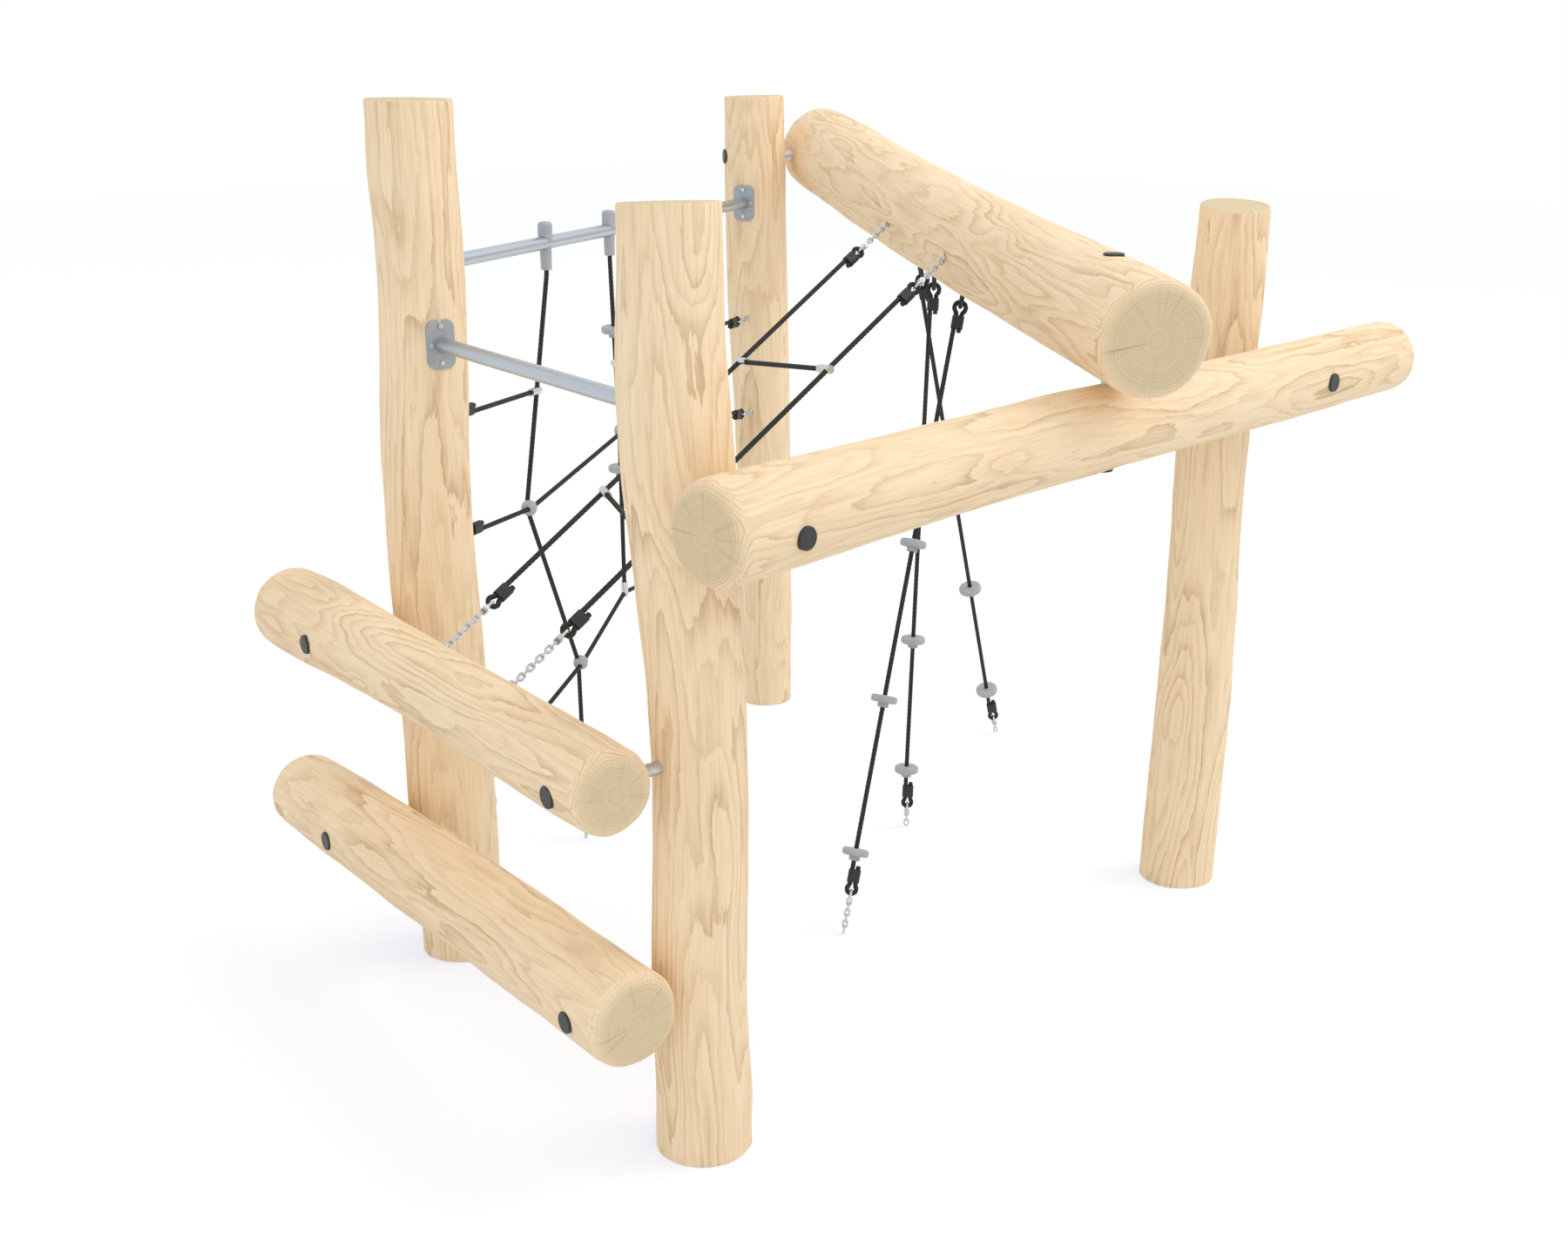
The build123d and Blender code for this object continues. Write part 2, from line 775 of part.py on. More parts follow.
# Log bolts: spacer sleeve, threaded rod, washers, nuts and hollow plastic caps.
def bolt_ends(bolt):
    """Outward planes on the two cap seats of a bolt."""
    return [bolt.plane(bolt.inner_cap_seat, -1), bolt.plane(bolt.outer_cap_seat)]


def nut(plane):
    """Hexagon nut on a washer."""
    with BuildPart() as part:
        with BuildSketch(plane.offset(washer_thickness)):
            RegularPolygon(nut_across_flats / 2, 6, major_radius=False)
            Circle(rod_diameter / 2 + thread_clearance, mode=Mode.SUBTRACT)
        extrude(amount=nut_height)
    return part.part


def bolt_cap(plane):
    """Hollow plastic cap over a nut, with a rounded edge."""
    with BuildPart() as part:
        with BuildSketch(plane):
            Circle(cap_diameter / 2)
        extrude(amount=cap_height)
        fillet(part.faces().sort_by(Axis(plane.origin, plane.z_dir))[-1].edges(), cap_edge)
        with BuildSketch(plane):
            Circle(cap_diameter / 2 - cap_wall)
        extrude(amount=cap_height - cap_wall, mode=Mode.SUBTRACT)
    return part.part


sleeves = []
rods = []
washers = []
nuts = []
caps = []
rod_past_seat = washer_thickness + nut_height + rod_past_nut
for bolt, _ in bolt_sites:
    sleeve_length = bolt.outer_sleeve_seat - bolt.inner_sleeve_seat
    sleeves.append(ring(bolt.plane(bolt.inner_sleeve_seat), sleeve_diameter, sleeve_bore,
                        sleeve_length))
    rods.append(bar_between(bolt.plane(bolt.inner_cap_seat - rod_past_seat).origin,
                            bolt.plane(bolt.outer_cap_seat + rod_past_seat).origin,
                            rod_diameter / 2))
    for end_plane in bolt_ends(bolt):
        washers.append(ring(end_plane, washer_diameter, washer_bore, washer_thickness))
        nuts.append(nut(end_plane))
        caps.append(bolt_cap(end_plane))
save(gather(sleeves), "spacer_sleeves")
save(gather(rods), "through_rods")
save(gather(washers), "washers")
save(gather(nuts), "nuts")
save(gather(caps), "bolt_caps")


# Steel bars with their flanges
def bar_part(line, rope_drops=()):
    """Steel tube between two flange seats, drilled where ropes pass down through it."""
    with BuildPart() as part:
        with BuildSketch(Plane(origin=line.seats[0][1], z_dir=line.along)):
            Circle(bar_diameter / 2)
            Circle(bar_diameter / 2 - bar_wall, mode=Mode.SUBTRACT)
        extrude(amount=line.length)
        for drop in rope_drops:
            with BuildSketch(Plane(origin=net_point((drop, bar_underside - 1)))):
                Circle(rope_bore / 2)
            extrude(amount=bar_diameter + 2, mode=Mode.SUBTRACT)
    return part.part


def flange(plane):
    """Flange plate with a collar round the bar, a slot at the top and screw holes."""
    bar_hole = bar_diameter / 2 + fit_clearance
    with BuildPart() as part:
        with BuildSketch(plane):
            RectangleRounded(flange_width, flange_height, flange_corner)
            slot_floor = flange_height / 2 - flange_slot_depth
            with BuildLine():
                Polyline((flange_slot_width / 2, slot_floor + flange_slot_width / 2),
                         (flange_slot_width / 2 + flange_slot_mouth, flange_height),
                         (-flange_slot_width / 2 - flange_slot_mouth, flange_height),
                         (-flange_slot_width / 2, slot_floor + flange_slot_width / 2))
                ThreePointArc((-flange_slot_width / 2, slot_floor + flange_slot_width / 2),
                              (0, slot_floor),
                              (flange_slot_width / 2, slot_floor + flange_slot_width / 2))
            make_face(mode=Mode.SUBTRACT)
            Circle(bar_hole, mode=Mode.SUBTRACT)
            with Locations(*flange_screw_places):
                Circle(screw_bore / 2, mode=Mode.SUBTRACT)
        extrude(amount=flange_thickness)
        with BuildSketch(plane.offset(flange_thickness)):
            Circle(collar_diameter / 2)
            Circle(bar_hole, mode=Mode.SUBTRACT)
        extrude(amount=collar_height)
    return part.part


def flange_screws(plane):
    """Wood screws through a flange."""
    screws = []
    for across, rise in flange_screw_places:
        face = plane.offset(flange_thickness)
        with BuildPart() as screw:
            with BuildSketch(face):
                with Locations((across, rise)):
                    Circle(screw_head_diameter / 2)
            extrude(amount=screw_head_height)
            with BuildSketch(face):
                with Locations((across, rise)):
                    Circle(screw_diameter / 2)
            extrude(amount=-screw_length)
        screws.append(screw.part)
    return screws


flange_planes = [plane for line in bar_lines for plane in line.flange_planes()]
save(bar_part(bar_line_lower), "bar_lower")
save(bar_part(bar_line_upper, (first_drop, second_drop)), "bar_upper")
save(gather([flange(plane) for plane in flange_planes]), "bar_flanges")
save(gather([screw for plane in flange_planes for screw in flange_screws(plane)]),
     "flange_screws")


def bar_rope_cap(drop):
    """Domed cap that sits on the bar and holds the end of a rope."""
    foot = Plane(origin=net_point((drop, bar_upper_height + bar_sleeve_saddle)))
    height = bar_top + bar_cap_height - foot.origin.Z
    with BuildPart() as part:
        with BuildSketch(foot):
            Circle(bar_cap_diameter / 2)
        extrude(amount=height)
        fillet(part.faces().sort_by(Axis.Z)[-1].edges(), bar_cap_dome)
        with BuildSketch(foot):
            Circle(rope_bore / 2)
        extrude(amount=bar_top + bar_rope_insertion + fit_clearance - foot.origin.Z,
                mode=Mode.SUBTRACT)
        add(bar_saddle, mode=Mode.SUBTRACT)
    return part.part


def bar_rope_sleeve(drop):
    """Tapered sleeve that grips a rope below the bar."""
    foot = Plane(origin=net_point((drop, bar_underside - bar_sleeve_length)))
    height = bar_upper_height - bar_sleeve_saddle - foot.origin.Z
    with BuildPart() as part:
        with Locations(foot):
            Cone(bar_sleeve_bottom_diameter / 2, bar_sleeve_top_diameter / 2, height,
                 align=(Align.CENTER, Align.CENTER, Align.MIN))
        with BuildSketch(foot):
            Circle(rope_bore / 2)
        extrude(amount=height, mode=Mode.SUBTRACT)
        add(bar_saddle, mode=Mode.SUBTRACT)
    return part.part


bar_saddle = bar_between(bar_line_upper.first, bar_line_upper.second,
                         bar_diameter / 2 + fit_clearance)
save(gather([bar_rope_cap(drop) for drop in (first_drop, second_drop)]), "bar_rope_caps")
save(gather([bar_rope_sleeve(drop) for drop in (first_drop, second_drop)]),
     "bar_rope_sleeves")


# Ropes
def rope_part(corners, radii, ends, diameter=rope_diameter):
    """Rope along its corners, with an eye at each of its shackled or hung ends."""
    with BuildPart() as part:
        with BuildLine() as route:
            if len(corners) == 2:
                Line(*corners)
            else:
                FilletPolyline(*corners, radius=radii)
            for end in ends:
                end.eye_edges()
        path = route.wires()[0]
        with BuildSketch(Plane(origin=path @ 0, z_dir=path % 0)):
            Circle(diameter / 2)
        sweep(path=path)
    return part.part


def rope_channel(name):
    """What a net rope needs inside the fittings that it passes through."""
    return rope_part(net_routes[name], kink_radii(name), [], rope_bore)


for name, route in net_routes.items():
    save(rope_part(route, kink_radii(name), net_route_ends[name]), "net_rope_" + name)
for (low, high), name in zip(ladder_ends, ("left", "right")):
    save(rope_part([low.end, high.end], [], [low, high]), "ladder_rope_" + name)
for (low, high), name in zip(hanging_ends, ("front", "middle", "back")):
    save(rope_part([low.end, high.end], [], [low, high]), "hanging_rope_" + name)


def rung_rope(first, second):
    """Rope of a rung, from one tee to the other."""
    return bar_between(past_tee(first, second), past_tee(second, first), rope_diameter / 2)


save(gather([rung_rope(*line) for line in rung_lines]), "ladder_rungs")


# Fittings on the ropes
def tee(middle, towards, channel):
    """Tee ferrule: a short tube over one rope's end, crossed by another rope."""
    along = (towards - middle).normalized()
    outer = middle - along * tee_outer_length
    inner = middle + along * tee_inner_length
    with BuildPart() as part:
        add(bar_between(outer, inner, tee_diameter / 2))
        add(bar_between(middle + along * (tee_rope_start - fit_clearance),
                        inner + along, rope_bore / 2), mode=Mode.SUBTRACT)
        add(channel, mode=Mode.SUBTRACT)
    return part.part


def ladder_channel(index):
    """Room for a ladder rope in its tees."""
    return bar_between(*ladder_lines[index], rope_bore / 2)


first_channel = rope_channel("first")
second_channel = rope_channel("second")
lower_channel = rope_channel("lower")
save(gather([tee(first_tee, left_ends[0].end, first_channel),
             tee(second_tee, right_ends[0].end, second_channel),
             tee(second_foot, second_middle, lower_channel)]), "net_tees")
save(gather([tee(line[index], line[1 - index], ladder_channel(index))
             for line in rung_lines for index in (0, 1)]), "ladder_tees")


def clamp_channel(before, corner, after):
    """Room for a rope that kinks inside its clamp."""
    corners = [corner + (far - corner).normalized() * clamp_diameter for far in (before, after)]
    return rope_part([corners[0], corner, corners[1]], [rope_kink_radius], [], clamp_bore)


def cross_clamp(middle, runs):
    """Ball clamp round two ropes that cross. A run is a corner between its neighbours."""
    back = middle + net_front * ((net_front_offset - clamp_thickness) / 2)
    with BuildPart() as part:
        with BuildSketch(Plane(origin=back, x_dir=net_along * -1, z_dir=net_front)):
            Circle(clamp_diameter / 2)
        extrude(amount=clamp_thickness)
        fillet(part.edges().filter_by(GeomType.CIRCLE), clamp_rounding)
        for run in runs:
            add(clamp_channel(*run), mode=Mode.SUBTRACT)
    return part.part


save(gather([
    cross_clamp(first_upper, [(first_bend, first_upper, first_lower),
                              (left_ends[1].end, middle_left, middle_right)]),
    cross_clamp(first_lower, [(first_upper, first_lower, end_first_ground.end),
                              (left_ends[2].end, lower_left, second_foot)]),
    cross_clamp(second_middle, [(second_bend, second_middle, second_foot),
                                (middle_left, middle_right, right_ends[1].end)]),
]), "net_cross_clamps")


def step_disc(place, along):
    """Round step on a rope, with its hub below. along points up the rope."""
    with BuildPart() as part:
        with BuildSketch(Plane(origin=place - along * (disc_thickness / 2), z_dir=along)):
            Circle(disc_diameter / 2)
        extrude(amount=disc_thickness)
        fillet(part.edges().filter_by(GeomType.CIRCLE), disc_edge)
        with BuildSketch(Plane(origin=place - along * (disc_thickness / 2), z_dir=along)):
            Circle(disc_hub_diameter / 2)
        extrude(amount=-disc_hub_height)
        with BuildSketch(Plane(origin=place, z_dir=along)):
            Circle(rope_bore / 2)
        extrude(amount=disc_diameter, both=True, mode=Mode.SUBTRACT)
    return part.part


def disc_on(low, high, height):
    """Step disc at a height on the straight run between two points of a rope."""
    return step_disc(on_rope(low, high, height), (high - low).normalized())


save(gather([disc_on(second_middle, second_bend, second_disc_heights[0]),
             disc_on(second_foot, second_middle, second_disc_heights[1])]), "net_discs")
save(gather([disc_on(low.end, high.end, height)
             for (low, high), heights in zip(hanging_ends, hanging_disc_heights)
             for height in heights]), "hanging_discs")


def press_ferrule(end):
    """Oval ferrule pressed round a rope and its tail."""
    wide = tail_spacing + rope_bore + 2 * press_ferrule_wall
    tall = rope_bore + 2 * press_ferrule_wall
    plane = Plane(origin=end.at(tail_spacing / 2, 0), x_dir=end.side, z_dir=end.out * -1)
    with BuildPart() as part:
        with BuildSketch(plane):
            SlotOverall(wide, tall)
            with Locations((tail_spacing / 2, 0), (-tail_spacing / 2, 0)):
                Circle(rope_bore / 2, mode=Mode.SUBTRACT)
        extrude(amount=press_ferrule_length)
    return part.part


def shackle(end):
    """Bow through the eye of a rope, with two drilled lugs for the pin."""
    def at(across, out):
        return end.at(tail_spacing / 2, out) + end.normal * across

    width = shackle_half_width
    with BuildPart() as part:
        with BuildLine() as bow:
            Line(at(width, end.pin_reach), at(width, end.eye_top))
            ThreePointArc(at(width, end.eye_top), at(0, end.eye_top - width),
                          at(-width, end.eye_top))
            Line(at(-width, end.eye_top), at(-width, end.pin_reach))
        path = bow.wires()[0]
        with BuildSketch(Plane(origin=path @ 0, z_dir=path % 0)):
            Circle(shackle_wire / 2)
        sweep(path=path)
        pin_plane = Plane(origin=at(0, end.pin_reach), z_dir=end.normal)
        for middle in (width, -width):
            with BuildSketch(pin_plane.offset(middle - shackle_lug_thickness / 2)):
                Circle(shackle_lug_diameter / 2)
            extrude(amount=shackle_lug_thickness)
        with BuildSketch(pin_plane):
            Circle(shackle_pin_bore / 2)
        extrude(amount=2 * width, both=True, mode=Mode.SUBTRACT)
    return part.part


def shackle_pin(end):
    """Pin with a flat head through a shackle's lugs."""
    outer = shackle_half_width + shackle_lug_thickness / 2
    middle = end.at(tail_spacing / 2, end.pin_reach)
    with BuildPart() as part:
        with BuildSketch(Plane(origin=middle - end.normal * (outer + 2), z_dir=end.normal)):
            Circle(shackle_pin_diameter / 2)
        extrude(amount=2 * outer + 2)
        with BuildSketch(Plane(origin=middle + end.normal * outer, z_dir=end.normal)):
            Circle(shackle_pin_head_diameter / 2)
        extrude(amount=shackle_pin_head_height)
    return part.part


def chain_link():
    """One round-wire link, long along x and flat in x and y."""
    bend = (chain_inner_width + chain_wire) / 2
    straight = chain_inner_length - chain_inner_width
    with BuildPart() as part:
        with BuildLine() as centre:
            Line((-straight / 2, bend), (straight / 2, bend))
            ThreePointArc((straight / 2, bend), (straight / 2 + bend, 0),
                          (straight / 2, -bend))
            Line((straight / 2, -bend), (-straight / 2, -bend))
            ThreePointArc((-straight / 2, -bend), (-straight / 2 - bend, 0),
                          (-straight / 2, bend))
        path = centre.wires()[0]
        with BuildSketch(Plane(origin=path @ 0, z_dir=path % 0)):
            Circle(chain_wire / 2)
        sweep(path=path)
    return part.part


link_shape = chain_link()


def chain_links(end):
    """Links from a shackle pin to the end's anchor, turned a quarter each time."""
    links = []
    first = (end.pin_reach - shackle_pin_diameter / 2 - chain_slack / 2
             + chain_inner_length / 2)
    for index in range(end.links):
        out = first + index * (chain_inner_length - chain_slack)
        facing = end.normal if index % 2 == 0 else end.side
        plane = Plane(origin=end.at(tail_spacing / 2, out), x_dir=end.out, z_dir=facing)
        links.append(link_shape.moved(plane.location))
    return links


def screw_eye(end):
    """Eye on a wood screw. Its ring crosses the last link of the chain."""
    middle = end.anchor + end.out * screw_eye_radius
    facing = end.side if end.links % 2 == 1 else end.normal
    with BuildPart() as part:
        with Locations(Plane(origin=middle, z_dir=facing)):
            Torus(screw_eye_radius, screw_eye_wire / 2)
        add(bar_between(middle + end.out * screw_eye_radius,
                        middle + end.out * (screw_eye_radius + screw_eye_depth),
                        screw_eye_shank / 2))
    return part.part


for group, ends in shackled_ends.items():
    save(gather([shackle(end) for end in ends]), group + "_shackles")
    save(gather([shackle_pin(end) for end in ends]), group + "_shackle_pins")
    save(gather([link for end in ends for link in chain_links(end)]), group + "_chains")
hanging_all = [end for pair in hanging_ends for end in pair]
for group, ends in (("net", net_ends), ("ladder", shackled_ends["ladder"]),
                    ("hanging", hanging_all)):
    save(gather([press_ferrule(end) for end in ends]), group + "_press_ferrules")
save(gather([screw_eye(end) for end, _ in screwed_ends[:len(left_ends + right_ends)]]),
     "net_screw_eyes")
save(gather([screw_eye(end) for end, _ in screwed_ends[len(left_ends + right_ends):]]),
     "ladder_screw_eyes")


def hanger(end):
    """Coated loop with both legs in the beam. It carries the eye of a hanging rope."""
    width = hanger_half_width
    length = hanger_length(end)

    def at(across, out):
        return end.anchor + end.normal * across + end.out * out

    with BuildPart() as part:
        with BuildLine() as bow:
            Line(at(width, length), at(width, 0))
            ThreePointArc(at(width, 0), at(0, -width), at(-width, 0))
            Line(at(-width, 0), at(-width, length))
        path = bow.wires()[0]
        with BuildSketch(Plane(origin=path @ 0, z_dir=path % 0)):
            Circle(hanger_diameter / 2)
        sweep(path=path)
    return part.part


save(gather([hanger(high) for _, high in hanging_ends]), "rope_hangers")
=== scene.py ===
"""Climbing cube of debarked robinia logs, steel bars and steel-cored rope."""

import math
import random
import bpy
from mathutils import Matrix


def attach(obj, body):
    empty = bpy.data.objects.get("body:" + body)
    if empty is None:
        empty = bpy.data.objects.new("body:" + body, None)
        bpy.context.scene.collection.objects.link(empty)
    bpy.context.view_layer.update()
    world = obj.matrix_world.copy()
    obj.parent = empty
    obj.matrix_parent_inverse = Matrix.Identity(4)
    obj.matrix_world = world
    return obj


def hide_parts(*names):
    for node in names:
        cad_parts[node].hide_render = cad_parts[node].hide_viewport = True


bl_info = {
    "name": "Climbing cube",
    "version": (1, 0, 0),
    "blender": (4, 5, 0),
    "location": "3D View > Sidebar > Climbing cube",
    "description": "Logs, ropes, chains and fittings of a log climbing frame",
    "category": "Object",
}

import bpy
import numpy as np
from bpy.props import (
    FloatProperty,
    FloatVectorProperty,
    IntProperty,
    PointerProperty,
)
from mathutils import Euler, Matrix, Vector, noise
from mathutils.bvhtree import BVHTree

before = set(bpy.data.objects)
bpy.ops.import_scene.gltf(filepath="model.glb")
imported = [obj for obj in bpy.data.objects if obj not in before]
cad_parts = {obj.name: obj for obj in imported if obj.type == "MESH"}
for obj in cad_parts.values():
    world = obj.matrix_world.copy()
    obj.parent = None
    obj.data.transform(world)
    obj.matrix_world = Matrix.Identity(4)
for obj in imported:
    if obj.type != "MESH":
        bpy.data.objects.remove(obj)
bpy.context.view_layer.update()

# Each log: its CAD node, the rounding of its lower or first end and of the other
# end in metres, and the seed of its grain.
LOGS = {
    "post_left": (0, 0.005, 1),
    "post_front": (0, 0.005, 2),
    "post_back": (0, 0.005, 3),
    "post_right": (0, 0.005, 4),
    "beam_front": (0.034, 0.034, 5),
    "beam_diagonal": (0.032, 0.032, 6),
    "beam_side_upper": (0.036, 0.036, 7),
    "beam_side_lower": (0.036, 0.036, 8),
}

# Middle line of each rope between its eyes, in millimetres.
ROUTES = {
    "net_rope_first": (
        (916.9, 1636.9, 2170.2), (916.9, 1636.9, 2036.2), (916.3, 1636.6, 2025.9),
        (914.5, 1635.8, 2015.7), (742.1, 1564.8, 1311), (741.2, 1564.4, 1303.8),
        (741.9, 1564.7, 1296.6), (744.1, 1565.6, 1289.8), (1027.9, 1682.6, 680.9),
        (1030, 1683.5, 674.8), (1030.8, 1683.8, 668.4),
    ),
    "net_rope_second": (
        (1333.9, 1808.7, 2170.2), (1333.9, 1808.7, 2028.3), (1333.9, 1808.8, 2025.8),
        (1334, 1808.8, 2023.3), (1368, 1822.8, 1425.7), (1368.1, 1822.8, 1425),
        (1368.1, 1822.8, 1424.3), (1375.3, 1825.8, 842.3),
    ),
    "net_rope_upper_left": (
        (813.5, 1594.5, 1665.1),
    ),
    "net_rope_upper_right": (
        (1369.4, 1823.2, 1668.1),
    ),
    "net_rope_middle": (
        (425.9, 1435.1, 1300), (743.2, 1547, 1300), (745.9, 1548, 1300.1),
        (748.5, 1549, 1300.5), (1370.5, 1805.4, 1424.2), (1374.6, 1807.1, 1424.7),
        (1378.7, 1808.8, 1424.5), (2343, 2204, 1303.9),
    ),
    "net_rope_lower": (
        (440.2, 1432.2, 486.4), (1035.6, 1667.4, 674.5), (1037.1, 1668, 675),
        (1038.5, 1668.7, 675.6), (1369.9, 1823.3, 823.5), (1375.6, 1825.8, 825.3),
        (1381.7, 1828.3, 825.7), (2352.6, 2202.8, 774),
    ),
    "ladder_rope_left": (
        (91.2, 888, 1283.3),
    ),
    "ladder_rope_right": (
        (36.7, 501.5, 1299),
    ),
    "hanging_rope_front": (
        (1182.7, 542.3, 157.7),
    ),
    "hanging_rope_middle": (
        (1925.6, 939.6, 115.2),
    ),
    "hanging_rope_back": (
        (2874.1, 1284.9, 105),
    ),
    "ladder_rung_1": (
        (525, 920.4, 1490.9), (336.7, 528.7, 1451.7),
    ),
    "ladder_rung_2": (
        (1152.9, 985.7, 1789.8), (1066.4, 561.5, 1827.5),
    ),
}


# The eyes at the ends of the ropes, at a route's start and at its end: where the rope
# enters the eye, the directions across and along the eye, and the radius of its loop.
EYES = {
    "net_rope_first": (
        None,
        ((1046.8809, 1690.4321, 115.5301), (-0.92407, -0.380932, -0.031397),
         (0.029028, 0.011966, -0.999507), 15),
    ),
    "net_rope_upper_left": (
        None,
        ((422.7259, 1439.3584, 1667.5104), (0.005314, 0.002191, 0.999983),
         (-0.929451, -0.368901, 0.005748), 15),
    ),
    "net_rope_upper_right": (
        None,
        ((2328.2994, 2210.3387, 1676.0674), (0.0071, 0.002927, -0.999971),
         (0.92727, 0.374315, 0.00768), 15),
    ),
    "net_rope_middle": (
        ((425.9281, 1435.0658, 1300), (0, 0, 1),
         (-0.943016, -0.332747, 0), 15),
        ((2343.034, 2204.0172, 1303.8943), (-0.106267, -0.043807, -0.993372),
         (0.91918, 0.376691, -0.114942), 15),
    ),
    "net_rope_lower": (
        ((440.1729, 1432.227, 486.3873), (-0.260695, -0.107467, 0.959421),
         (-0.892338, -0.352473, -0.281949), 15),
        ((2352.613, 2202.802, 774.0082), (-0.045852, -0.018902, -0.998769),
         (0.931849, 0.359443, -0.049582), 15),
    ),
    "ladder_rope_left": (
        ((91.2224, 887.9743, 1283.3042), (0.373042, -0.677123, -0.634306),
         (-0.899373, -0.095928, -0.426527), 15),
        ((1744.9668, 1064.3638, 2067.5915), (0.373042, -0.677123, -0.634306),
         (0.899373, 0.095928, 0.426527), 15),
    ),
    "ladder_rope_right": (
        ((36.6881, 501.5405, 1298.9624), (0.36246, -0.67155, -0.646253),
         (-0.887923, -0.038102, -0.458411), 15),
        ((1434.2109, 561.51, 2020.4662), (0.36246, -0.67155, -0.646253),
         (0.887923, 0.038102, 0.458411), 15),
    ),
    "hanging_rope_front": (
        ((1182.6636, 542.2893, 157.7425), (0.640063, -0.747366, -0.178224),
         (-0.378446, -0.104797, -0.919672), 15),
        ((1892.0597, 738.7308, 1881.6647), (0.640063, -0.747366, -0.178224),
         (0.378446, 0.104797, 0.919672), 19),
    ),
    "hanging_rope_middle": (
        ((1925.5761, 939.6046, 115.2211), (0.684812, -0.727958, -0.033322),
         (-0.077142, -0.026949, -0.996656), 15),
        ((2063.7345, 987.8682, 1900.1874), (0.684812, -0.727958, -0.033322),
         (0.077142, 0.026949, 0.996656), 19),
    ),
    "hanging_rope_back": (
        ((2874.1078, 1284.8665, 104.9908), (0.724357, -0.652264, 0.223292),
         (0.365192, 0.088303, -0.926735), 15),
        ((2161.2646, 1112.5024, 1913.9489), (0.724357, -0.652264, 0.223292),
         (-0.365192, -0.088303, 0.926735), 19),
    ),
}

EYE_HALF = 9
EYE_NECK = 4
EYE_TAIL = 54
EYE_BEND = 15
EYE_STEP = math.radians(17)


def rope_eye(start, across, along, radius):
    """Points of a rope's eye, from its tail round the loop to the rope."""
    side = EYE_HALF + EYE_BEND
    rise = math.sqrt((radius + EYE_BEND) ** 2 - side ** 2)
    lean = math.atan2(rise, side)
    flat = [(2 * EYE_HALF, -EYE_TAIL), (2 * EYE_HALF, EYE_NECK)]
    for middle, height, reach, first, last in (
        (EYE_HALF + side, EYE_NECK, EYE_BEND, math.pi, math.pi - lean),
        (EYE_HALF, EYE_NECK + rise, radius, -lean, math.pi + lean),
        (EYE_HALF - side, EYE_NECK, EYE_BEND, lean, 0),
    ):
        steps = math.ceil(abs(last - first) / EYE_STEP)
        for angle in np.linspace(first, last, steps + 1)[1:]:
            flat.append((middle + reach * math.cos(angle), height + reach * math.sin(angle)))
    return tuple(
        tuple(round(float(s + u * x + v * y), 1) for s, x, y in zip(start, across, along))
        for u, v in flat
    )


def with_eyes(node, points):
    """A rope's whole middle line, from the tail of one eye to that of the other."""
    first, last = (rope_eye(*eye) if eye else () for eye in EYES.get(node, (None, None)))
    return first + points + last[::-1]


# Settings


def size(name, description, default, low, high):
    """A length that a user may change."""
    return FloatProperty(
        name=name,
        description=description,
        default=default,
        min=low,
        max=high,
        precision=4,
        subtype="DISTANCE",
        unit="LENGTH",
    )


def colour(name, description, default):
    """A colour that a user may change."""
    return FloatVectorProperty(
        name=name,
        description=description,
        default=default,
        min=0,
        max=1,
        size=3,
        subtype="COLOR",
    )


class LogSettings(bpy.types.PropertyGroup):
    """Sizes and colours of the debarked logs"""

    segments: IntProperty(
        name="Segments", description="Faces round a log", default=96, min=24, max=192
    )
    ring_step: size("Row step", "Distance between rows of faces", 0.008, 0.004, 0.05)
    swell: size("Swell", "Depth of the slow hollows and swellings", 0.0045, 0, 0.01)
    flute: size("Flutes", "Depth of the ridges along the grain", 0.0011, 0, 0.004)
    knots: IntProperty(
        name="Knots", description="Knots on a log", default=4, min=0, max=20
    )
    year_ring: size("Year ring", "Width of a year ring", 0.0060, 0.001, 0.02)
    pale: colour("Pale wood", "Spring wood", (0.95, 0.76, 0.52))
    dark: colour("Dark wood", "Summer wood lines", (0.54, 0.345, 0.165))
    sawn: colour("Sawn wood", "End faces", (0.74, 0.59, 0.37))


class RopeSettings(bpy.types.PropertyGroup):
    """Sizes and colour of the steel-cored rope"""

    diameter: size("Diameter", "Over the strands", 0.016, 0.008, 0.03)
    groove: size("Groove", "Depth of the grooves between strands", 0.0011, 0, 0.003)
    lay: size("Lay", "Length in which a strand goes round once", 0.09, 0.02, 0.4)
    strands: IntProperty(
        name="Strands", description="Strands in the rope", default=6, min=3, max=12
    )
    step: size("Step", "Distance between rows of faces", 0.006, 0.002, 0.02)
    shade: colour("Rope", "Yarn of the strands", (0.014, 0.014, 0.015))


class ChainSettings(bpy.types.PropertyGroup):
    """Sizes and colour of the short-link chain"""

    wire: size("Wire", "Thickness of the wire", 0.006, 0.003, 0.012)
    inner_width: size("Inner width", "Inside a link, across", 0.0086, 0.004, 0.03)
    inner_length: size("Inner length", "Inside a link, along", 0.0185, 0.01, 0.06)
    zinc: colour("Zinc", "Galvanised steel", (0.66, 0.68, 0.71))


class FittingSettings(bpy.types.PropertyGroup):
    """Colours of the bars and fittings"""

    steel: colour("Bar", "Satin steel tube", (0.50, 0.56, 0.63))
    cast: colour("Flange", "Cast grey flanges", (0.40, 0.43, 0.46))
    grey: colour("Grey plastic", "Steps, clamps and rope caps", (0.40, 0.41, 0.44))
    aluminium: colour("Tee", "Pressed tee ferrules", (0.70, 0.71, 0.72))
    black: colour("Black plastic", "Bolt caps", (0.022, 0.022, 0.024))
    ferrule: colour("Black ferrule", "Press ferrules and hangers", (0.016, 0.016, 0.017))


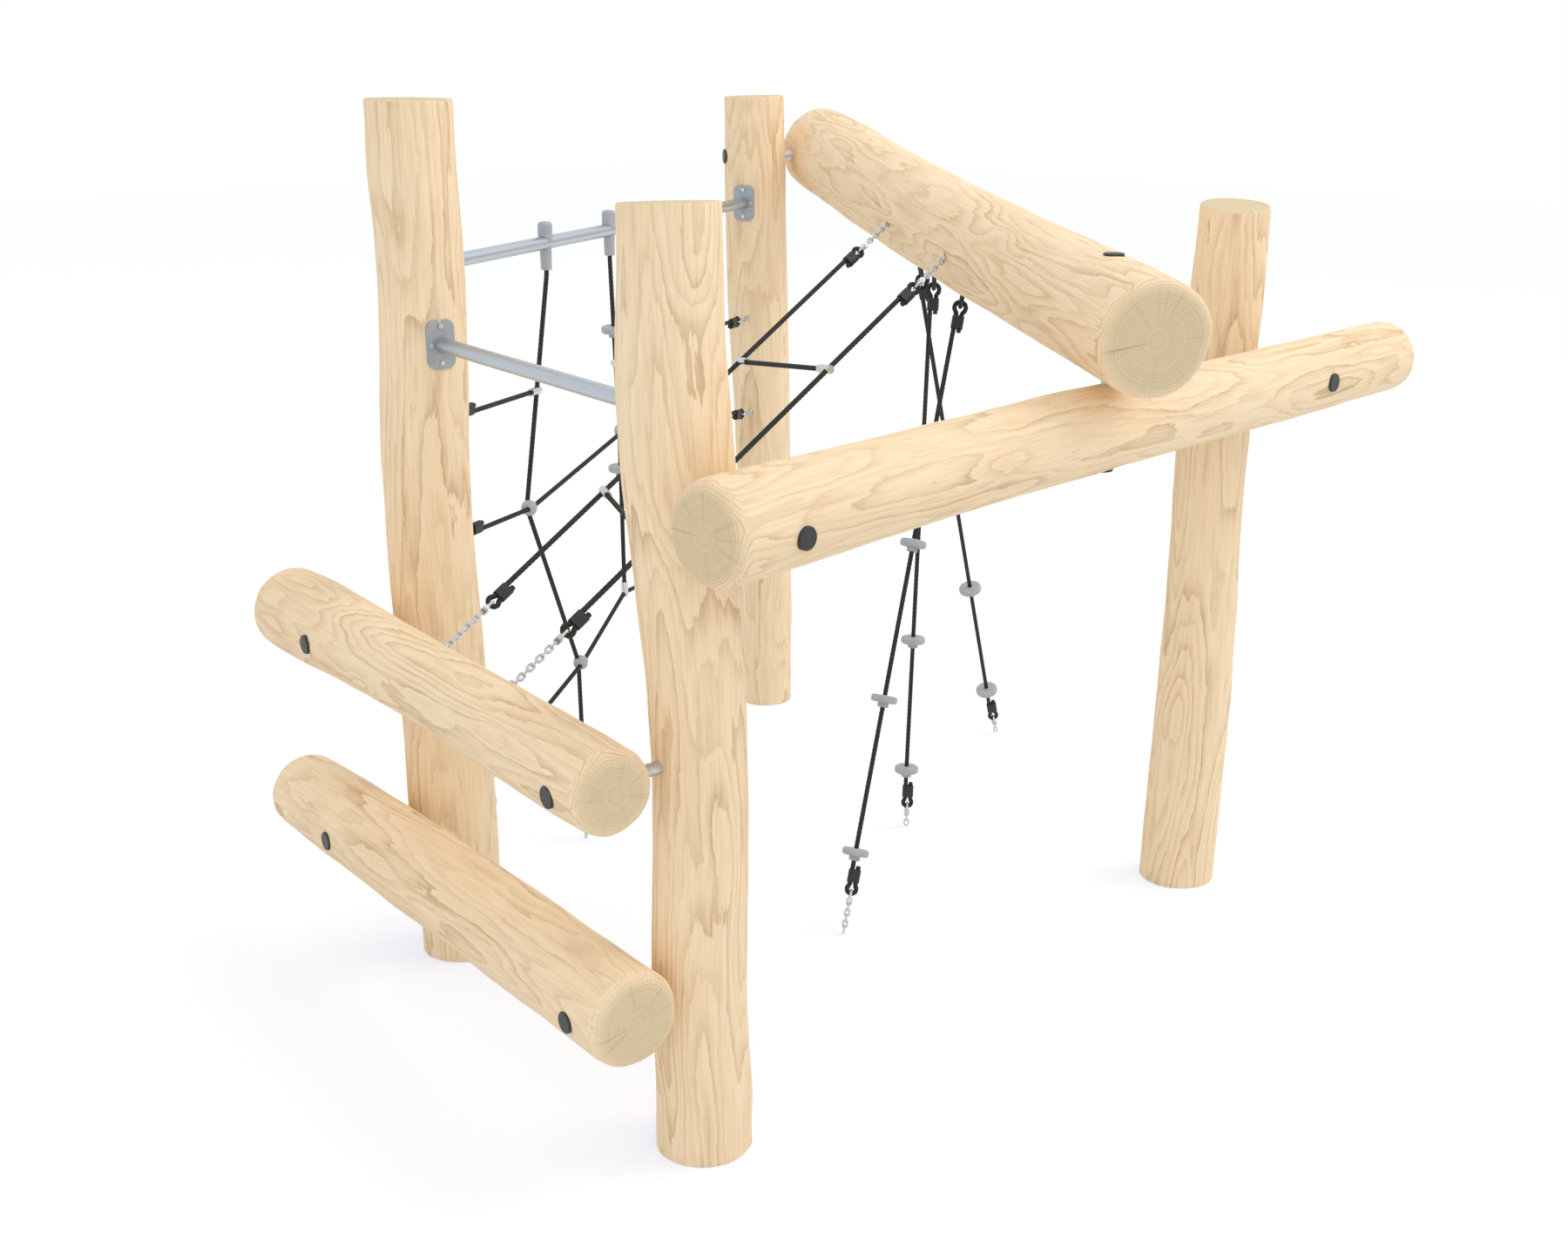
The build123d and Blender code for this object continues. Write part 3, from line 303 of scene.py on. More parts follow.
class StageSettings(bpy.types.PropertyGroup):
    """Camera and studio"""

    lens: FloatProperty(
        name="Lens", description="Focal length in millimetres", default=42.65, min=10
    )
    key: FloatProperty(
        name="Key light", description="Power of the large lamp in watts", default=240
    )
    fill: FloatProperty(
        name="Fill light", description="Power of the far lamp in watts", default=72
    )
    sky: FloatProperty(
        name="Sky", description="Strength of the light from all round", default=0.93
    )


# Materials


class Finish:
    """A material and the nodes that it is made of."""

    def __init__(self, name, roughness, metallic=0.0, specular=0.5):
        self.material = bpy.data.materials.new(name)
        self.material.use_nodes = True
        self.nodes = self.material.node_tree.nodes
        self.links = self.material.node_tree.links
        self.surface = self.nodes["Principled BSDF"]
        self.surface.inputs["Roughness"].default_value = roughness
        self.surface.inputs["Metallic"].default_value = metallic
        self.surface.inputs["Specular IOR Level"].default_value = specular

    def feed(self, socket, value):
        """Link or set a socket."""
        if isinstance(value, bpy.types.NodeSocket):
            self.links.new(value, socket)
        else:
            socket.default_value = value

    def node(self, kind, inputs=None, **settings):
        """Add a node with its settings and inputs."""
        made = self.nodes.new(kind)
        for key, value in settings.items():
            setattr(made, key, value)
        for key, value in (inputs or {}).items():
            self.feed(made.inputs[key], value)
        return made

    def maths(self, operation, *values):
        """A number worked out from others."""
        inputs = dict(enumerate(values))
        return self.node("ShaderNodeMath", inputs, operation=operation).outputs[0]

    def vector(self, operation, *values):
        """A vector worked out from others."""
        inputs = dict(enumerate(values))
        return self.node("ShaderNodeVectorMath", inputs, operation=operation).outputs[0]

    def grain(self, place, scale, detail=2.0, roughness=0.5):
        """Noise of a scale in each direction. Its output is about 0.5."""
        stretched = self.vector("MULTIPLY", place, scale)
        inputs = {"Vector": stretched, "Scale": 1.0, "Detail": detail,
                  "Roughness": roughness}
        return self.node("ShaderNodeTexNoise", inputs)

    def span(self, value, low, high, start=0.0, end=1.0):
        """A number moved from one range to another and held within it."""
        inputs = {"Value": value, "From Min": low, "From Max": high,
                  "To Min": start, "To Max": end}
        return self.node("ShaderNodeMapRange", inputs).outputs[0]

    def blend(self, share, first, second, kind="MIX"):
        """A colour between two others."""
        made = self.node("ShaderNodeMix", data_type="RGBA", blend_type=kind)
        for index, value in ((0, share), (6, first), (7, second)):
            self.feed(made.inputs[index], value)
        return made.outputs[2]

    def relief(self, height, distance, strength=1.0):
        """Fine relief on the surface."""
        inputs = {"Height": height, "Distance": distance, "Strength": strength}
        bump = self.node("ShaderNodeBump", inputs)
        self.links.new(bump.outputs[0], self.surface.inputs["Normal"])

    def place(self):
        """Place on the piece, in metres."""
        return self.node("ShaderNodeTexCoord").outputs["Object"]


def opaque(shade):
    """A colour with its fourth number."""
    return (*shade, 1.0)


def wood_finish(settings):
    """Debarked robinia: year rings cut by the surface, fibres and sawn ends."""
    finish = Finish("robinia_wood", 0.62, specular=0.3)
    place = finish.node("ShaderNodeAttribute", attribute_name="log_place").outputs["Vector"]
    sawn = finish.node("ShaderNodeAttribute", attribute_name="log_sawn").outputs["Fac"]
    bark_side = finish.maths("SUBTRACT", 1.0, sawn)

    # The rings lie round a pith that wanders, and the trunk's own waves cut them.
    sway = finish.grain(place, (4.6, 4.6, 0.75), 2.0, 0.45).outputs["Color"]
    sway = finish.vector("SUBTRACT", sway, (0.5, 0.5, 0.5))
    reach = finish.span(sawn, 0, 1, 0.10, 0.012)
    scale = finish.node("ShaderNodeCombineXYZ", {0: reach, 1: reach, 2: 0.0}).outputs[0]
    ripple = finish.grain(place, (42.0, 42.0, 7.0), 3.0, 0.6).outputs["Color"]
    ripple = finish.vector("SUBTRACT", ripple, (0.5, 0.5, 0.5))
    tremor = finish.span(sawn, 0, 1, 0.0075, 0.003)
    small = finish.node("ShaderNodeCombineXYZ", {0: tremor, 1: tremor, 2: 0.0}).outputs[0]
    swayed = finish.vector("ADD", place, finish.vector("MULTIPLY", sway, scale))
    swayed = finish.vector("ADD", swayed, finish.vector("MULTIPLY", ripple, small))
    flat = finish.vector("MULTIPLY", swayed, (1.0, 1.0, 0.0))
    distance = finish.node("ShaderNodeVectorMath", {0: flat}, operation="LENGTH")
    ring = finish.maths("DIVIDE", distance.outputs["Value"], settings.year_ring)
    part = finish.maths("FRACT", ring)
    rise = finish.maths("POWER", part, 2.6)
    fall = finish.span(part, 0.93, 1.0, 1.0, 0.0)
    line = finish.maths("MULTIPLY", rise, fall)
    year = finish.node("ShaderNodeTexWhiteNoise", {"W": finish.maths("FLOOR", ring)},
                       noise_dimensions="1D").outputs["Value"]
    patch = finish.grain(place, (9.0, 9.0, 2.4), 2.0, 0.5).outputs["Fac"]
    strong = finish.span(patch, 0.32, 0.62, 0.35, 1.0)
    strong = finish.maths("MULTIPLY", strong, finish.span(year, 0, 1, 0.45, 1.0))
    line = finish.maths("MULTIPLY", line, strong)

    fibre = finish.grain(place, (260.0, 260.0, 7.0), 3.0, 0.6).outputs["Fac"]
    streak = finish.grain(place, (60.0, 60.0, 2.2), 3.0, 0.6).outputs["Fac"]
    cloud = finish.grain(place, (3.0, 3.0, 1.2), 2.0, 0.5).outputs["Fac"]

    colour = finish.blend(finish.maths("MULTIPLY", line, 0.95), opaque(settings.pale),
                          opaque(settings.dark))
    warm = (0.95, 0.88, 0.78, 1.0)
    colour = finish.blend(finish.span(streak, 0.42, 0.72, 0.0, 0.55), colour,
                          finish.blend(1.0, colour, warm, "MULTIPLY"))
    colour = finish.blend(finish.span(fibre, 0.45, 0.75, 0.0, 0.75), colour,
                          finish.blend(1.0, colour, (0.86, 0.79, 0.69, 1.0), "MULTIPLY"))
    colour = finish.blend(finish.span(cloud, 0.35, 0.7, 0.0, 0.5), colour,
                          finish.blend(1.0, colour, (0.97, 0.92, 0.86, 1.0), "MULTIPLY"))

    # Sawn ends: thin grey rings, drying checks that run out from the pith.
    end_line = finish.maths("MULTIPLY", finish.maths("POWER", part, 3.0), fall)
    end_line = finish.maths("MULTIPLY", end_line, finish.span(year, 0, 1, 0.35, 0.9))
    around = finish.node("ShaderNodeVectorMath",
                         {0: finish.vector("MULTIPLY", place, (1.0, 1.0, 0.0))},
                         operation="NORMALIZE").outputs[0]
    around = finish.vector("ADD", around, finish.vector("MULTIPLY", place, (0.0, 0.0, 3.0)))
    spoke = finish.grain(around, (9.0, 9.0, 1.0), 3.0, 0.65).outputs["Fac"]
    out = finish.node("ShaderNodeVectorMath",
                      {0: finish.vector("MULTIPLY", place, (1.0, 1.0, 0.0))},
                      operation="LENGTH").outputs["Value"]
    check = finish.span(spoke, 0.62, 0.68, 0.0, 1.0)
    check = finish.maths("MULTIPLY", check, finish.span(out, 0.012, 0.05, 0.0, 1.0))
    sheen = finish.span(spoke, 0.35, 0.6, 0.0, 0.35)
    end_colour = finish.blend(finish.maths("MULTIPLY", end_line, 0.95),
                              opaque(settings.sawn), (0.40, 0.30, 0.17, 1.0))
    end_colour = finish.blend(sheen, end_colour,
                              finish.blend(1.0, end_colour, (0.90, 0.88, 0.84, 1.0), "MULTIPLY"))
    end_colour = finish.blend(finish.maths("MULTIPLY", check, 0.4), end_colour,
                              (0.25, 0.17, 0.10, 1.0))
    colour = finish.blend(sawn, colour, end_colour)
    finish.feed(finish.surface.inputs["Base Color"], colour)

    height = finish.maths("MULTIPLY", line, -0.5)
    height = finish.maths("ADD", height, finish.maths("MULTIPLY", fibre, 0.8))
    height = finish.maths("MULTIPLY", height, finish.span(bark_side, 0, 1, 0.5, 1.0))
    height = finish.maths("SUBTRACT", height, finish.maths("MULTIPLY", check, sawn))
    finish.relief(height, 0.0006, 0.7)
    rough = finish.span(fibre, 0.3, 0.7, 0.55, 0.75)
    finish.feed(finish.surface.inputs["Roughness"], rough)
    return finish.material


def rope_finish(settings):
    """Black polyamide yarn, a little dusty in fine scattered flecks."""
    finish = Finish("rope_yarn", 0.62, specular=0.35)
    place = finish.place()
    yarn = finish.grain(place, (900.0, 900.0, 900.0), 2.0, 0.6).outputs["Fac"]
    worn = finish.grain(place, (14.0, 14.0, 14.0), 3.0, 0.6).outputs["Fac"]
    dust = finish.maths("MULTIPLY", finish.span(yarn, 0.4, 0.75), finish.span(worn, 0.35, 0.7))
    colour = finish.blend(dust, opaque(settings.shade), (0.045, 0.045, 0.047, 1.0))
    finish.feed(finish.surface.inputs["Base Color"], colour)
    finish.relief(yarn, 0.0005, 0.8)
    return finish.material


def metal_finish(name, shade, roughness, spangle, metallic=1.0, fine=900.0, depth=0.00008,
                 dulled=0.78):
    """Metal with a cloudy sheen. spangle is the size of its patches, per metre."""
    finish = Finish(name, roughness, metallic)
    place = finish.place()
    cloud = finish.grain(place, spangle, 3.0, 0.6).outputs["Fac"]
    grit = finish.grain(place, (fine, fine, fine), 2.0, 0.5).outputs["Fac"]
    dull = tuple(dulled * value for value in shade)
    colour = finish.blend(finish.span(cloud, 0.32, 0.7), opaque(shade), opaque(dull))
    finish.feed(finish.surface.inputs["Base Color"], colour)
    mottled = finish.span(cloud, 0.3, 0.7, roughness * 0.8, min(1.0, roughness * 1.35))
    finish.feed(finish.surface.inputs["Roughness"], mottled)
    finish.relief(grit, depth, 0.6)
    return finish.material


def plastic_finish(name, shade, roughness, depth=0.00012):
    """Moulded plastic with a fine leathery grain and light scuffs."""
    finish = Finish(name, roughness, specular=0.45)
    place = finish.place()
    skin = finish.grain(place, (700.0, 700.0, 700.0), 2.0, 0.5).outputs["Fac"]
    scuff = finish.grain(place, (45.0, 45.0, 45.0), 4.0, 0.7).outputs["Fac"]
    pale = tuple(min(1.0, value * 1.22 + 0.012) for value in shade)
    colour = finish.blend(finish.span(scuff, 0.45, 0.75, 0.0, 0.8), opaque(shade), opaque(pale))
    finish.feed(finish.surface.inputs["Base Color"], colour)
    worn = finish.span(scuff, 0.3, 0.7, roughness * 0.85, min(1.0, roughness * 1.25))
    finish.feed(finish.surface.inputs["Roughness"], worn)
    finish.relief(skin, depth, 0.5)
    return finish.material


# Shapes


def add_object(name, data):
    """Put new data in the scene as an object at the origin."""
    made = bpy.data.objects.new(name, data)
    bpy.context.collection.objects.link(made)
    return made


def mesh_object(name, corners, faces):
    """An object from corners and faces, its faces turned outwards."""
    mesh = bpy.data.meshes.new(name)
    mesh.from_pydata([tuple(corner) for corner in corners], [], faces)
    mesh.validate()
    made = add_object(name, mesh)
    turn_outwards(mesh)
    return made


def turn_outwards(mesh):
    """Flip a closed mesh whose faces point inwards."""
    mesh.calc_loop_triangles()
    corners = np.empty(len(mesh.vertices) * 3)
    mesh.vertices.foreach_get("co", corners)
    corners = corners.reshape(-1, 3)
    triangles = np.empty(len(mesh.loop_triangles) * 3, dtype=np.int32)
    mesh.loop_triangles.foreach_get("vertices", triangles)
    first, second, third = corners[triangles.reshape(-1, 3)].transpose(1, 0, 2)
    if np.einsum("ij,ij->i", first, np.cross(second, third)).sum() < 0:
        mesh.flip_normals()


def set_attribute(mesh, name, kind, field, values):
    """Keep values on a mesh's points."""
    attribute = mesh.attributes.new(name, kind, "POINT")
    attribute.data.foreach_set(field, np.asarray(values, dtype=np.float32).ravel())


def plain_mesh(source, name):
    """Turn an object with its modifiers into an object with a plain mesh."""
    graph = bpy.context.evaluated_depsgraph_get()
    mesh = bpy.data.meshes.new_from_object(
        source.evaluated_get(graph), preserve_all_data_layers=True, depsgraph=graph
    )
    data = source.data
    bpy.data.objects.remove(source)
    if isinstance(data, bpy.types.Curve):
        bpy.data.curves.remove(data)
    mesh.name = name
    turn_outwards(mesh)
    return add_object(name, mesh)


def finish_piece(piece, material, slot, *nodes):
    """Give a piece its finish and its body, and hide the CAD nodes that it stands for."""
    if material.name not in piece.data.materials:
        piece.data.materials.clear()
        piece.data.materials.append(material)
    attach(piece, "root")
    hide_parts(*nodes)


def paint(nodes, material):
    """Give CAD nodes that are shown a finish."""
    for name in nodes:
        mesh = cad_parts[name].data
        mesh.materials.clear()
        mesh.materials.append(material)


def node_arrays(name):
    """A CAD node's corners, merged where they meet, and its triangles."""
    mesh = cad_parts[name].data
    corners = np.array([vertex.co for vertex in mesh.vertices])
    mesh.calc_loop_triangles()
    triangles = np.array([triangle.vertices for triangle in mesh.loop_triangles])
    keys = np.round(corners / 2e-6).astype(np.int64)
    first, index = np.unique(keys, axis=0, return_index=True, return_inverse=True)[1:]
    return corners[first], index.ravel()[triangles]


def solids(name):
    """The corners of each separate solid of a CAD node."""
    corners, triangles = node_arrays(name)
    labels = np.arange(len(corners))
    while True:
        before = labels.copy()
        lowest = labels[triangles].min(axis=1)
        for column in range(3):
            np.minimum.at(labels, triangles[:, column], lowest)
        labels = labels[labels]
        if (labels == before).all():
            return [corners[labels == label] for label in np.unique(labels)]


# Logs

RAYS = 40
STATION = 0.02
END_BAND = 0.04
OUTSIDE = 0.5
# Where a log is measured: how far off its middle an end face is probed, how far from
# the ends the first and last circles are, and how each circle is averaged with those
# beside it.
FACE_PROBE = 0.06
FIRST_CIRCLE = 0.05
LAST_CIRCLE = 0.06
SMOOTHING = (0.1, 0.2, 0.4, 0.2, 0.1)
# A knot's length as a share of its width, its height and how far it bends the grain,
# and the depth and fineness of the marks on a sawn end.
KNOT_LENGTH = 2.8
KNOT_HEIGHT = 0.0022
KNOT_BEND = 0.011
SAW_DEPTH = 0.0005
SAW_FINENESS = 60


class LogShape:
    """Middle line, radius and end planes of a log, measured on its CAD solid."""

    def __init__(self, node):
        corners, triangles = node_arrays(node)
        self.tree = BVHTree.FromPolygons(corners.tolist(), triangles.tolist())
        axis = np.linalg.svd(corners - corners.mean(0), full_matrices=False)[2][0]
        upright = abs(axis[2]) > 0.8
        axis = axis * math.copysign(1, axis[2] if upright else axis[0] - axis[1])
        for attempt in range(2):
            self.set_axis(axis)
            along = corners @ self.axis
            ends = [self.middle(corners[along < along.min() + END_BAND]),
                    self.middle(corners[along > along.max() - END_BAND])]
            axis = ends[1] - ends[0]
        self.base = ends[0]
        self.length = float(np.linalg.norm(axis))
        self.planes = [self.end_plane(-1), self.end_plane(1)]
        self.measure()

    def set_axis(self, axis):
        """Set the log's own directions from its axis."""
        self.axis = axis / np.linalg.norm(axis)
        helper = np.array((1.0, 0.0, 0.0)) if abs(self.axis[2]) > 0.8 else np.array((0, 0, 1.0))
        side = np.cross(helper, self.axis)
        self.side = side / np.linalg.norm(side)
        self.other = np.cross(self.axis, self.side)

    def middle(self, corners):
        """Middle of the corners at one end of the log."""
        place = np.zeros(3)
        for direction in (self.axis, self.side, self.other):
            reach = corners @ direction
            place += direction * (reach.max() + reach.min()) / 2
        return place

    def place(self, across, over, height):
        """Point from its places across the log and along it."""
        return (self.base + np.multiply.outer(height, self.axis)
                + np.multiply.outer(across, self.side) + np.multiply.outer(over, self.other))

    def end_plane(self, sign):
        """Height of an end face, as the numbers of a plane."""
        rows, heights = [], []
        for angle in np.linspace(0, 2 * math.pi, 12, endpoint=False):
            across, over = FACE_PROBE * math.cos(angle), FACE_PROBE * math.sin(angle)
            start = self.place(across, over, self.length / 2 + sign * (self.length + OUTSIDE))
            hit = self.tree.ray_cast(Vector(start), Vector(self.axis * -sign))[0]
            if hit is not None:
                rows.append((1, across, over))
                heights.append((np.array(hit) - self.base) @ self.axis)
        return np.linalg.lstsq(np.array(rows), np.array(heights), rcond=None)[0]

    def measure(self):
        """Circles that fit the solid at stations, without its seats and bores."""
        low = self.planes[0][0] + FIRST_CIRCLE
        high = self.planes[1][0] - LAST_CIRCLE
        self.heights = np.linspace(low, high, int((high - low) / STATION))
        found = []
        for height in self.heights:
            places = []
            for angle in np.linspace(0, 2 * math.pi, RAYS, endpoint=False):
                ray = self.side * math.cos(angle) + self.other * math.sin(angle)
                start = self.base + self.axis * height + ray * OUTSIDE
                hit = self.tree.ray_cast(Vector(start), Vector(-ray))[0]
                if hit is not None:
                    offset = np.array(hit) - self.base
                    places.append((offset @ self.side, offset @ self.other))
            found.append(self.circle(np.array(places)))
        found = np.array(found)
        padded = np.vstack([found[:1]] * 2 + [found] + [found[-1:]] * 2)
        self.circles = sum(weight * padded[shift:shift + len(found)]
                           for shift, weight in enumerate(SMOOTHING))

    def circle(self, places):
        """Middle and radius of the circle through most of the places."""
        for attempt in range(5):
            rows = np.column_stack([2 * places, np.ones(len(places))])
            across, over, rest = np.linalg.lstsq(rows, (places ** 2).sum(1), rcond=None)[0]
            radius = math.sqrt(rest + across ** 2 + over ** 2)
            misses = abs(np.hypot(places[:, 0] - across, places[:, 1] - over) - radius)
            places = places[misses <= max(0.0006, 1.6 * np.median(misses))]
        return across, over, radius

    def at(self, height):
        """Middle and radius at heights along the log."""
        return [np.interp(height, self.heights, self.circles[:, column]) for column in range(3)]


def log_rows(shape, edges, settings):
    """Rows of the log's skin: places across, over and along it, and how far it is an end."""
    turn = np.linspace(0, 2 * math.pi, settings.segments, endpoint=False)
    cosine, sine = np.cos(turn), np.sin(turn)

    def plane_height(end, reach):
        """Height of an end face under points at a share of the radius."""
        across, over, radius = shape.at(shape.planes[end][0])
        level, slope, tilt = shape.planes[end]
        return (level + slope * (across + reach * radius * cosine)
                + tilt * (over + reach * radius * sine))

    def end_rows(end):
        """Rows of an end: its sawn face from the middle out, and its rounded edge."""
        sign, edge = (-1, 1)[end], edges[end]
        rim = plane_height(end, 1)
        radius = shape.at(rim - sign * edge)[2]
        rows = []
        for share in np.linspace(0.06, 1, 14):
            reach = (radius - edge) * share
            height = plane_height(end, share * (1 - edge / radius.mean()))
            rows.append((reach, height, np.ones_like(turn)))
        if edge:
            steps = 9 if edge > 0.02 else 3
            for angle in np.linspace(90, 0, steps)[1:]:
                reach = radius - edge + edge * math.cos(math.radians(angle))
                height = rim - sign * edge * (1 - math.sin(math.radians(angle)))
                rows.append((reach, height, np.full_like(turn, max(0, (angle - 30) / 60))))
        return rows

    low, high = (plane_height(end, 1) - (-1, 1)[end] * edges[end] for end in (0, 1))
    count = int((high - low).mean() / settings.ring_step)
    barrel = []
    for share in np.linspace(0, 1, count + 1)[(0 if not edges[0] else 1):-1]:
        height = low + (high - low) * share
        barrel.append((shape.at(height)[2], height, np.zeros_like(turn)))
    return end_rows(0) + barrel + end_rows(1)[::-1], cosine, sine


def log_knots(seed, length, count):
    """Places of a log's knots: angle, height, width and rise."""
    draw = random.Random(seed)
    return [(draw.uniform(0, 2 * math.pi), draw.uniform(0.08, 0.94) * length,
             draw.uniform(0.028, 0.05), draw.uniform(0.55, 1.0)) for _ in range(count)]


def build_log(node, settings):
    """A log with its slow swellings, flutes, knots and rounded sawn ends."""
    first_edge, second_edge, seed = LOGS[node]
    shift = seed * 3.7
    shape = LogShape(node)
    rows, cosine, sine = log_rows(shape, (first_edge, second_edge), settings)
    knots = log_knots(seed, shape.length, settings.knots)
    turn = np.arctan2(sine, cosine)
    corners, grain, sawn = [], [], []
    for reach, height, end in rows:
        across, over, radius = shape.at(height)
        bump = np.zeros_like(reach)
        for angle, middle, width, rise in knots:
            round_by = (turn - angle + math.pi) % (2 * math.pi) - math.pi
            gap = ((round_by * radius / width) ** 2
                   + ((height - middle) / (width * KNOT_LENGTH)) ** 2)
            bump += rise * np.exp(-gap)
        lift = np.array([
            settings.swell * noise.noise((c * 0.9 + seed * 7.3, s * 0.9, h * 2.6))
            + settings.swell * 0.45 * noise.noise((c * 2.6, s * 2.6 + seed * 5.1, h * 7.0))
            + settings.flute * noise.noise((c * 11.0, s * 11.0, h * 2.2 + shift))
            for c, s, h in zip(cosine, sine, height)
        ])
        skin = 1 - end
        share = reach / radius
        lifted = reach + share * (lift + KNOT_HEIGHT * bump * skin)
        deep = np.array([
            SAW_DEPTH * noise.noise((c * r * SAW_FINENESS, s * r * SAW_FINENESS, seed * 1.7))
            for c, s, r in zip(cosine, sine, reach)
        ])
        sign = 1 if height.mean() > shape.length / 2 else -1
        corners.append(shape.place(across + lifted * cosine, over + lifted * sine,
                                   height + sign * deep * end))
        ring = reach + KNOT_BEND * bump * skin
        grain.append(np.column_stack([ring * cosine, ring * sine, height + shift]))
        sawn.append(end)
    segments = settings.segments
    corners, grain = np.concatenate(corners), np.concatenate(grain)
    sawn = np.concatenate(sawn)
    caps = [corners[:segments].mean(0), corners[-segments:].mean(0)]
    corners = np.vstack([corners, caps])
    grain = np.vstack([grain, (0, 0, shift), (0, 0, shape.length + shift)])
    sawn = np.append(sawn, (1, 1))
    faces = []
    for row in range(len(rows) - 1):
        for column in range(segments):
            after = (column + 1) % segments
            start = row * segments
            faces.append((start + column, start + after, start + segments + after,
                          start + segments + column))
    last = (len(rows) - 1) * segments
    for column in range(segments):
        after = (column + 1) % segments
        faces.append((len(corners) - 2, after, column))
        faces.append((len(corners) - 1, last + column, last + after))
    piece = mesh_object(node + "_log", corners, faces)
    set_attribute(piece.data, "log_place", "FLOAT_VECTOR", "vector", grain)
    set_attribute(piece.data, "log_sawn", "FLOAT", "value", sawn)
    piece.data.shade_smooth()
    piece.data.set_sharp_from_angle(angle=math.radians(40))
    return piece


# Geometry Nodes


class Tree:
    """A tree of Geometry Nodes with named inputs."""

    def __init__(self, name, inputs):
        self.tree = bpy.data.node_groups.new(name, "GeometryNodeTree")
        face = self.tree.interface
        face.new_socket("Geometry", in_out="INPUT", socket_type="NodeSocketGeometry")
        face.new_socket("Geometry", in_out="OUTPUT", socket_type="NodeSocketGeometry")
        self.keys = {}
        for label, kind, default in inputs:
            socket = face.new_socket(label, in_out="INPUT", socket_type="NodeSocket" + kind)
            if default is not None:
                socket.default_value = default
            self.keys[label] = socket.identifier
        self.entry = self.tree.nodes.new("NodeGroupInput")
        self.exit = self.tree.nodes.new("NodeGroupOutput")

    def node(self, kind, inputs=None, **settings):
        """Add a node. A string as an input names one of the tree's own inputs."""
        made = self.tree.nodes.new(kind)
        for key, value in settings.items():
            setattr(made, key, value)
        for key, value in (inputs or {}).items():
            socket = made.inputs[key]
            if isinstance(value, str):
                value = self.entry.outputs[value]
            if isinstance(value, bpy.types.NodeSocket):
                self.tree.links.new(value, socket)
            else:
                socket.default_value = value
        return made

    def maths(self, operation, *values):
        """Add a maths node and hand back its output."""
        inputs = dict(enumerate(values))
        return self.node("ShaderNodeMath", inputs, operation=operation).outputs[0]

    def end(self, geometry):
        """Realise the result, give it its material and put it out."""
        real = self.node("GeometryNodeRealizeInstances", {"Geometry": geometry})
        smooth = self.node("GeometryNodeSetShadeSmooth", {"Geometry": real.outputs[0]})
        dressed = self.node("GeometryNodeSetMaterial",
                            {"Geometry": smooth.outputs[0], "Material": "Material"})
        self.tree.links.new(dressed.outputs[0], self.exit.inputs[0])

    def put_on(self, piece, values):
        """Add the tree to an object with values for its inputs."""
        modifier = piece.modifiers.new(self.tree.name, "NODES")
        modifier.node_group = self.tree
        for label, value in values.items():
            modifier[self.keys[label]] = value


def rope_tree():
    """Strands laid round a line: a lobed outline that turns along it."""
    tree = Tree("laid_rope", [
        ("Diameter", "Float", 0.016), ("Groove", "Float", 0.001), ("Lay", "Float", 0.09),
        ("Strands", "Int", 6), ("Step", "Float", 0.006), ("Material", "Material", None),
    ])
    line = tree.node("GeometryNodeResampleCurve", {"Curve": tree.entry.outputs[0],
                                                   "Length": "Step"}, mode="LENGTH")
    along = tree.node("GeometryNodeSplineParameter").outputs["Length"]
    turn = tree.maths("DIVIDE", tree.maths("MULTIPLY", along, 2 * math.pi), "Lay")
    tilted = tree.node("GeometryNodeSetCurveTilt", {"Curve": line.outputs[0], "Tilt": turn})
    points = tree.maths("MULTIPLY", "Strands", 5.0)
    ring = tree.node("GeometryNodeCurvePrimitiveCircle",
                     {"Resolution": points, "Radius": tree.maths("DIVIDE", "Diameter", 2.0)})
    index = tree.node("GeometryNodeInputIndex").outputs[0]
    phase = tree.maths("MULTIPLY", tree.maths("DIVIDE", index, 5.0), 2 * math.pi)
    lobe = tree.maths("SUBTRACT", tree.maths("COSINE", phase), 1.0)
    depth = tree.maths("MULTIPLY", tree.maths("MULTIPLY", lobe, 0.5), "Groove")
    outward = tree.node("ShaderNodeVectorMath",
                        {0: tree.node("GeometryNodeInputPosition").outputs[0]},
                        operation="NORMALIZE").outputs[0]
    offset = tree.node("ShaderNodeVectorMath", operation="SCALE")
    tree.tree.links.new(outward, offset.inputs[0])
    tree.tree.links.new(depth, offset.inputs["Scale"])
    outline = tree.node("GeometryNodeSetPosition",
                        {"Geometry": ring.outputs[0], "Offset": offset.outputs[0]})
    body = tree.node("GeometryNodeCurveToMesh",
                     {"Curve": tilted.outputs[0], "Profile Curve": outline.outputs[0],
                      "Fill Caps": True})
    tree.end(body.outputs[0])
    return tree


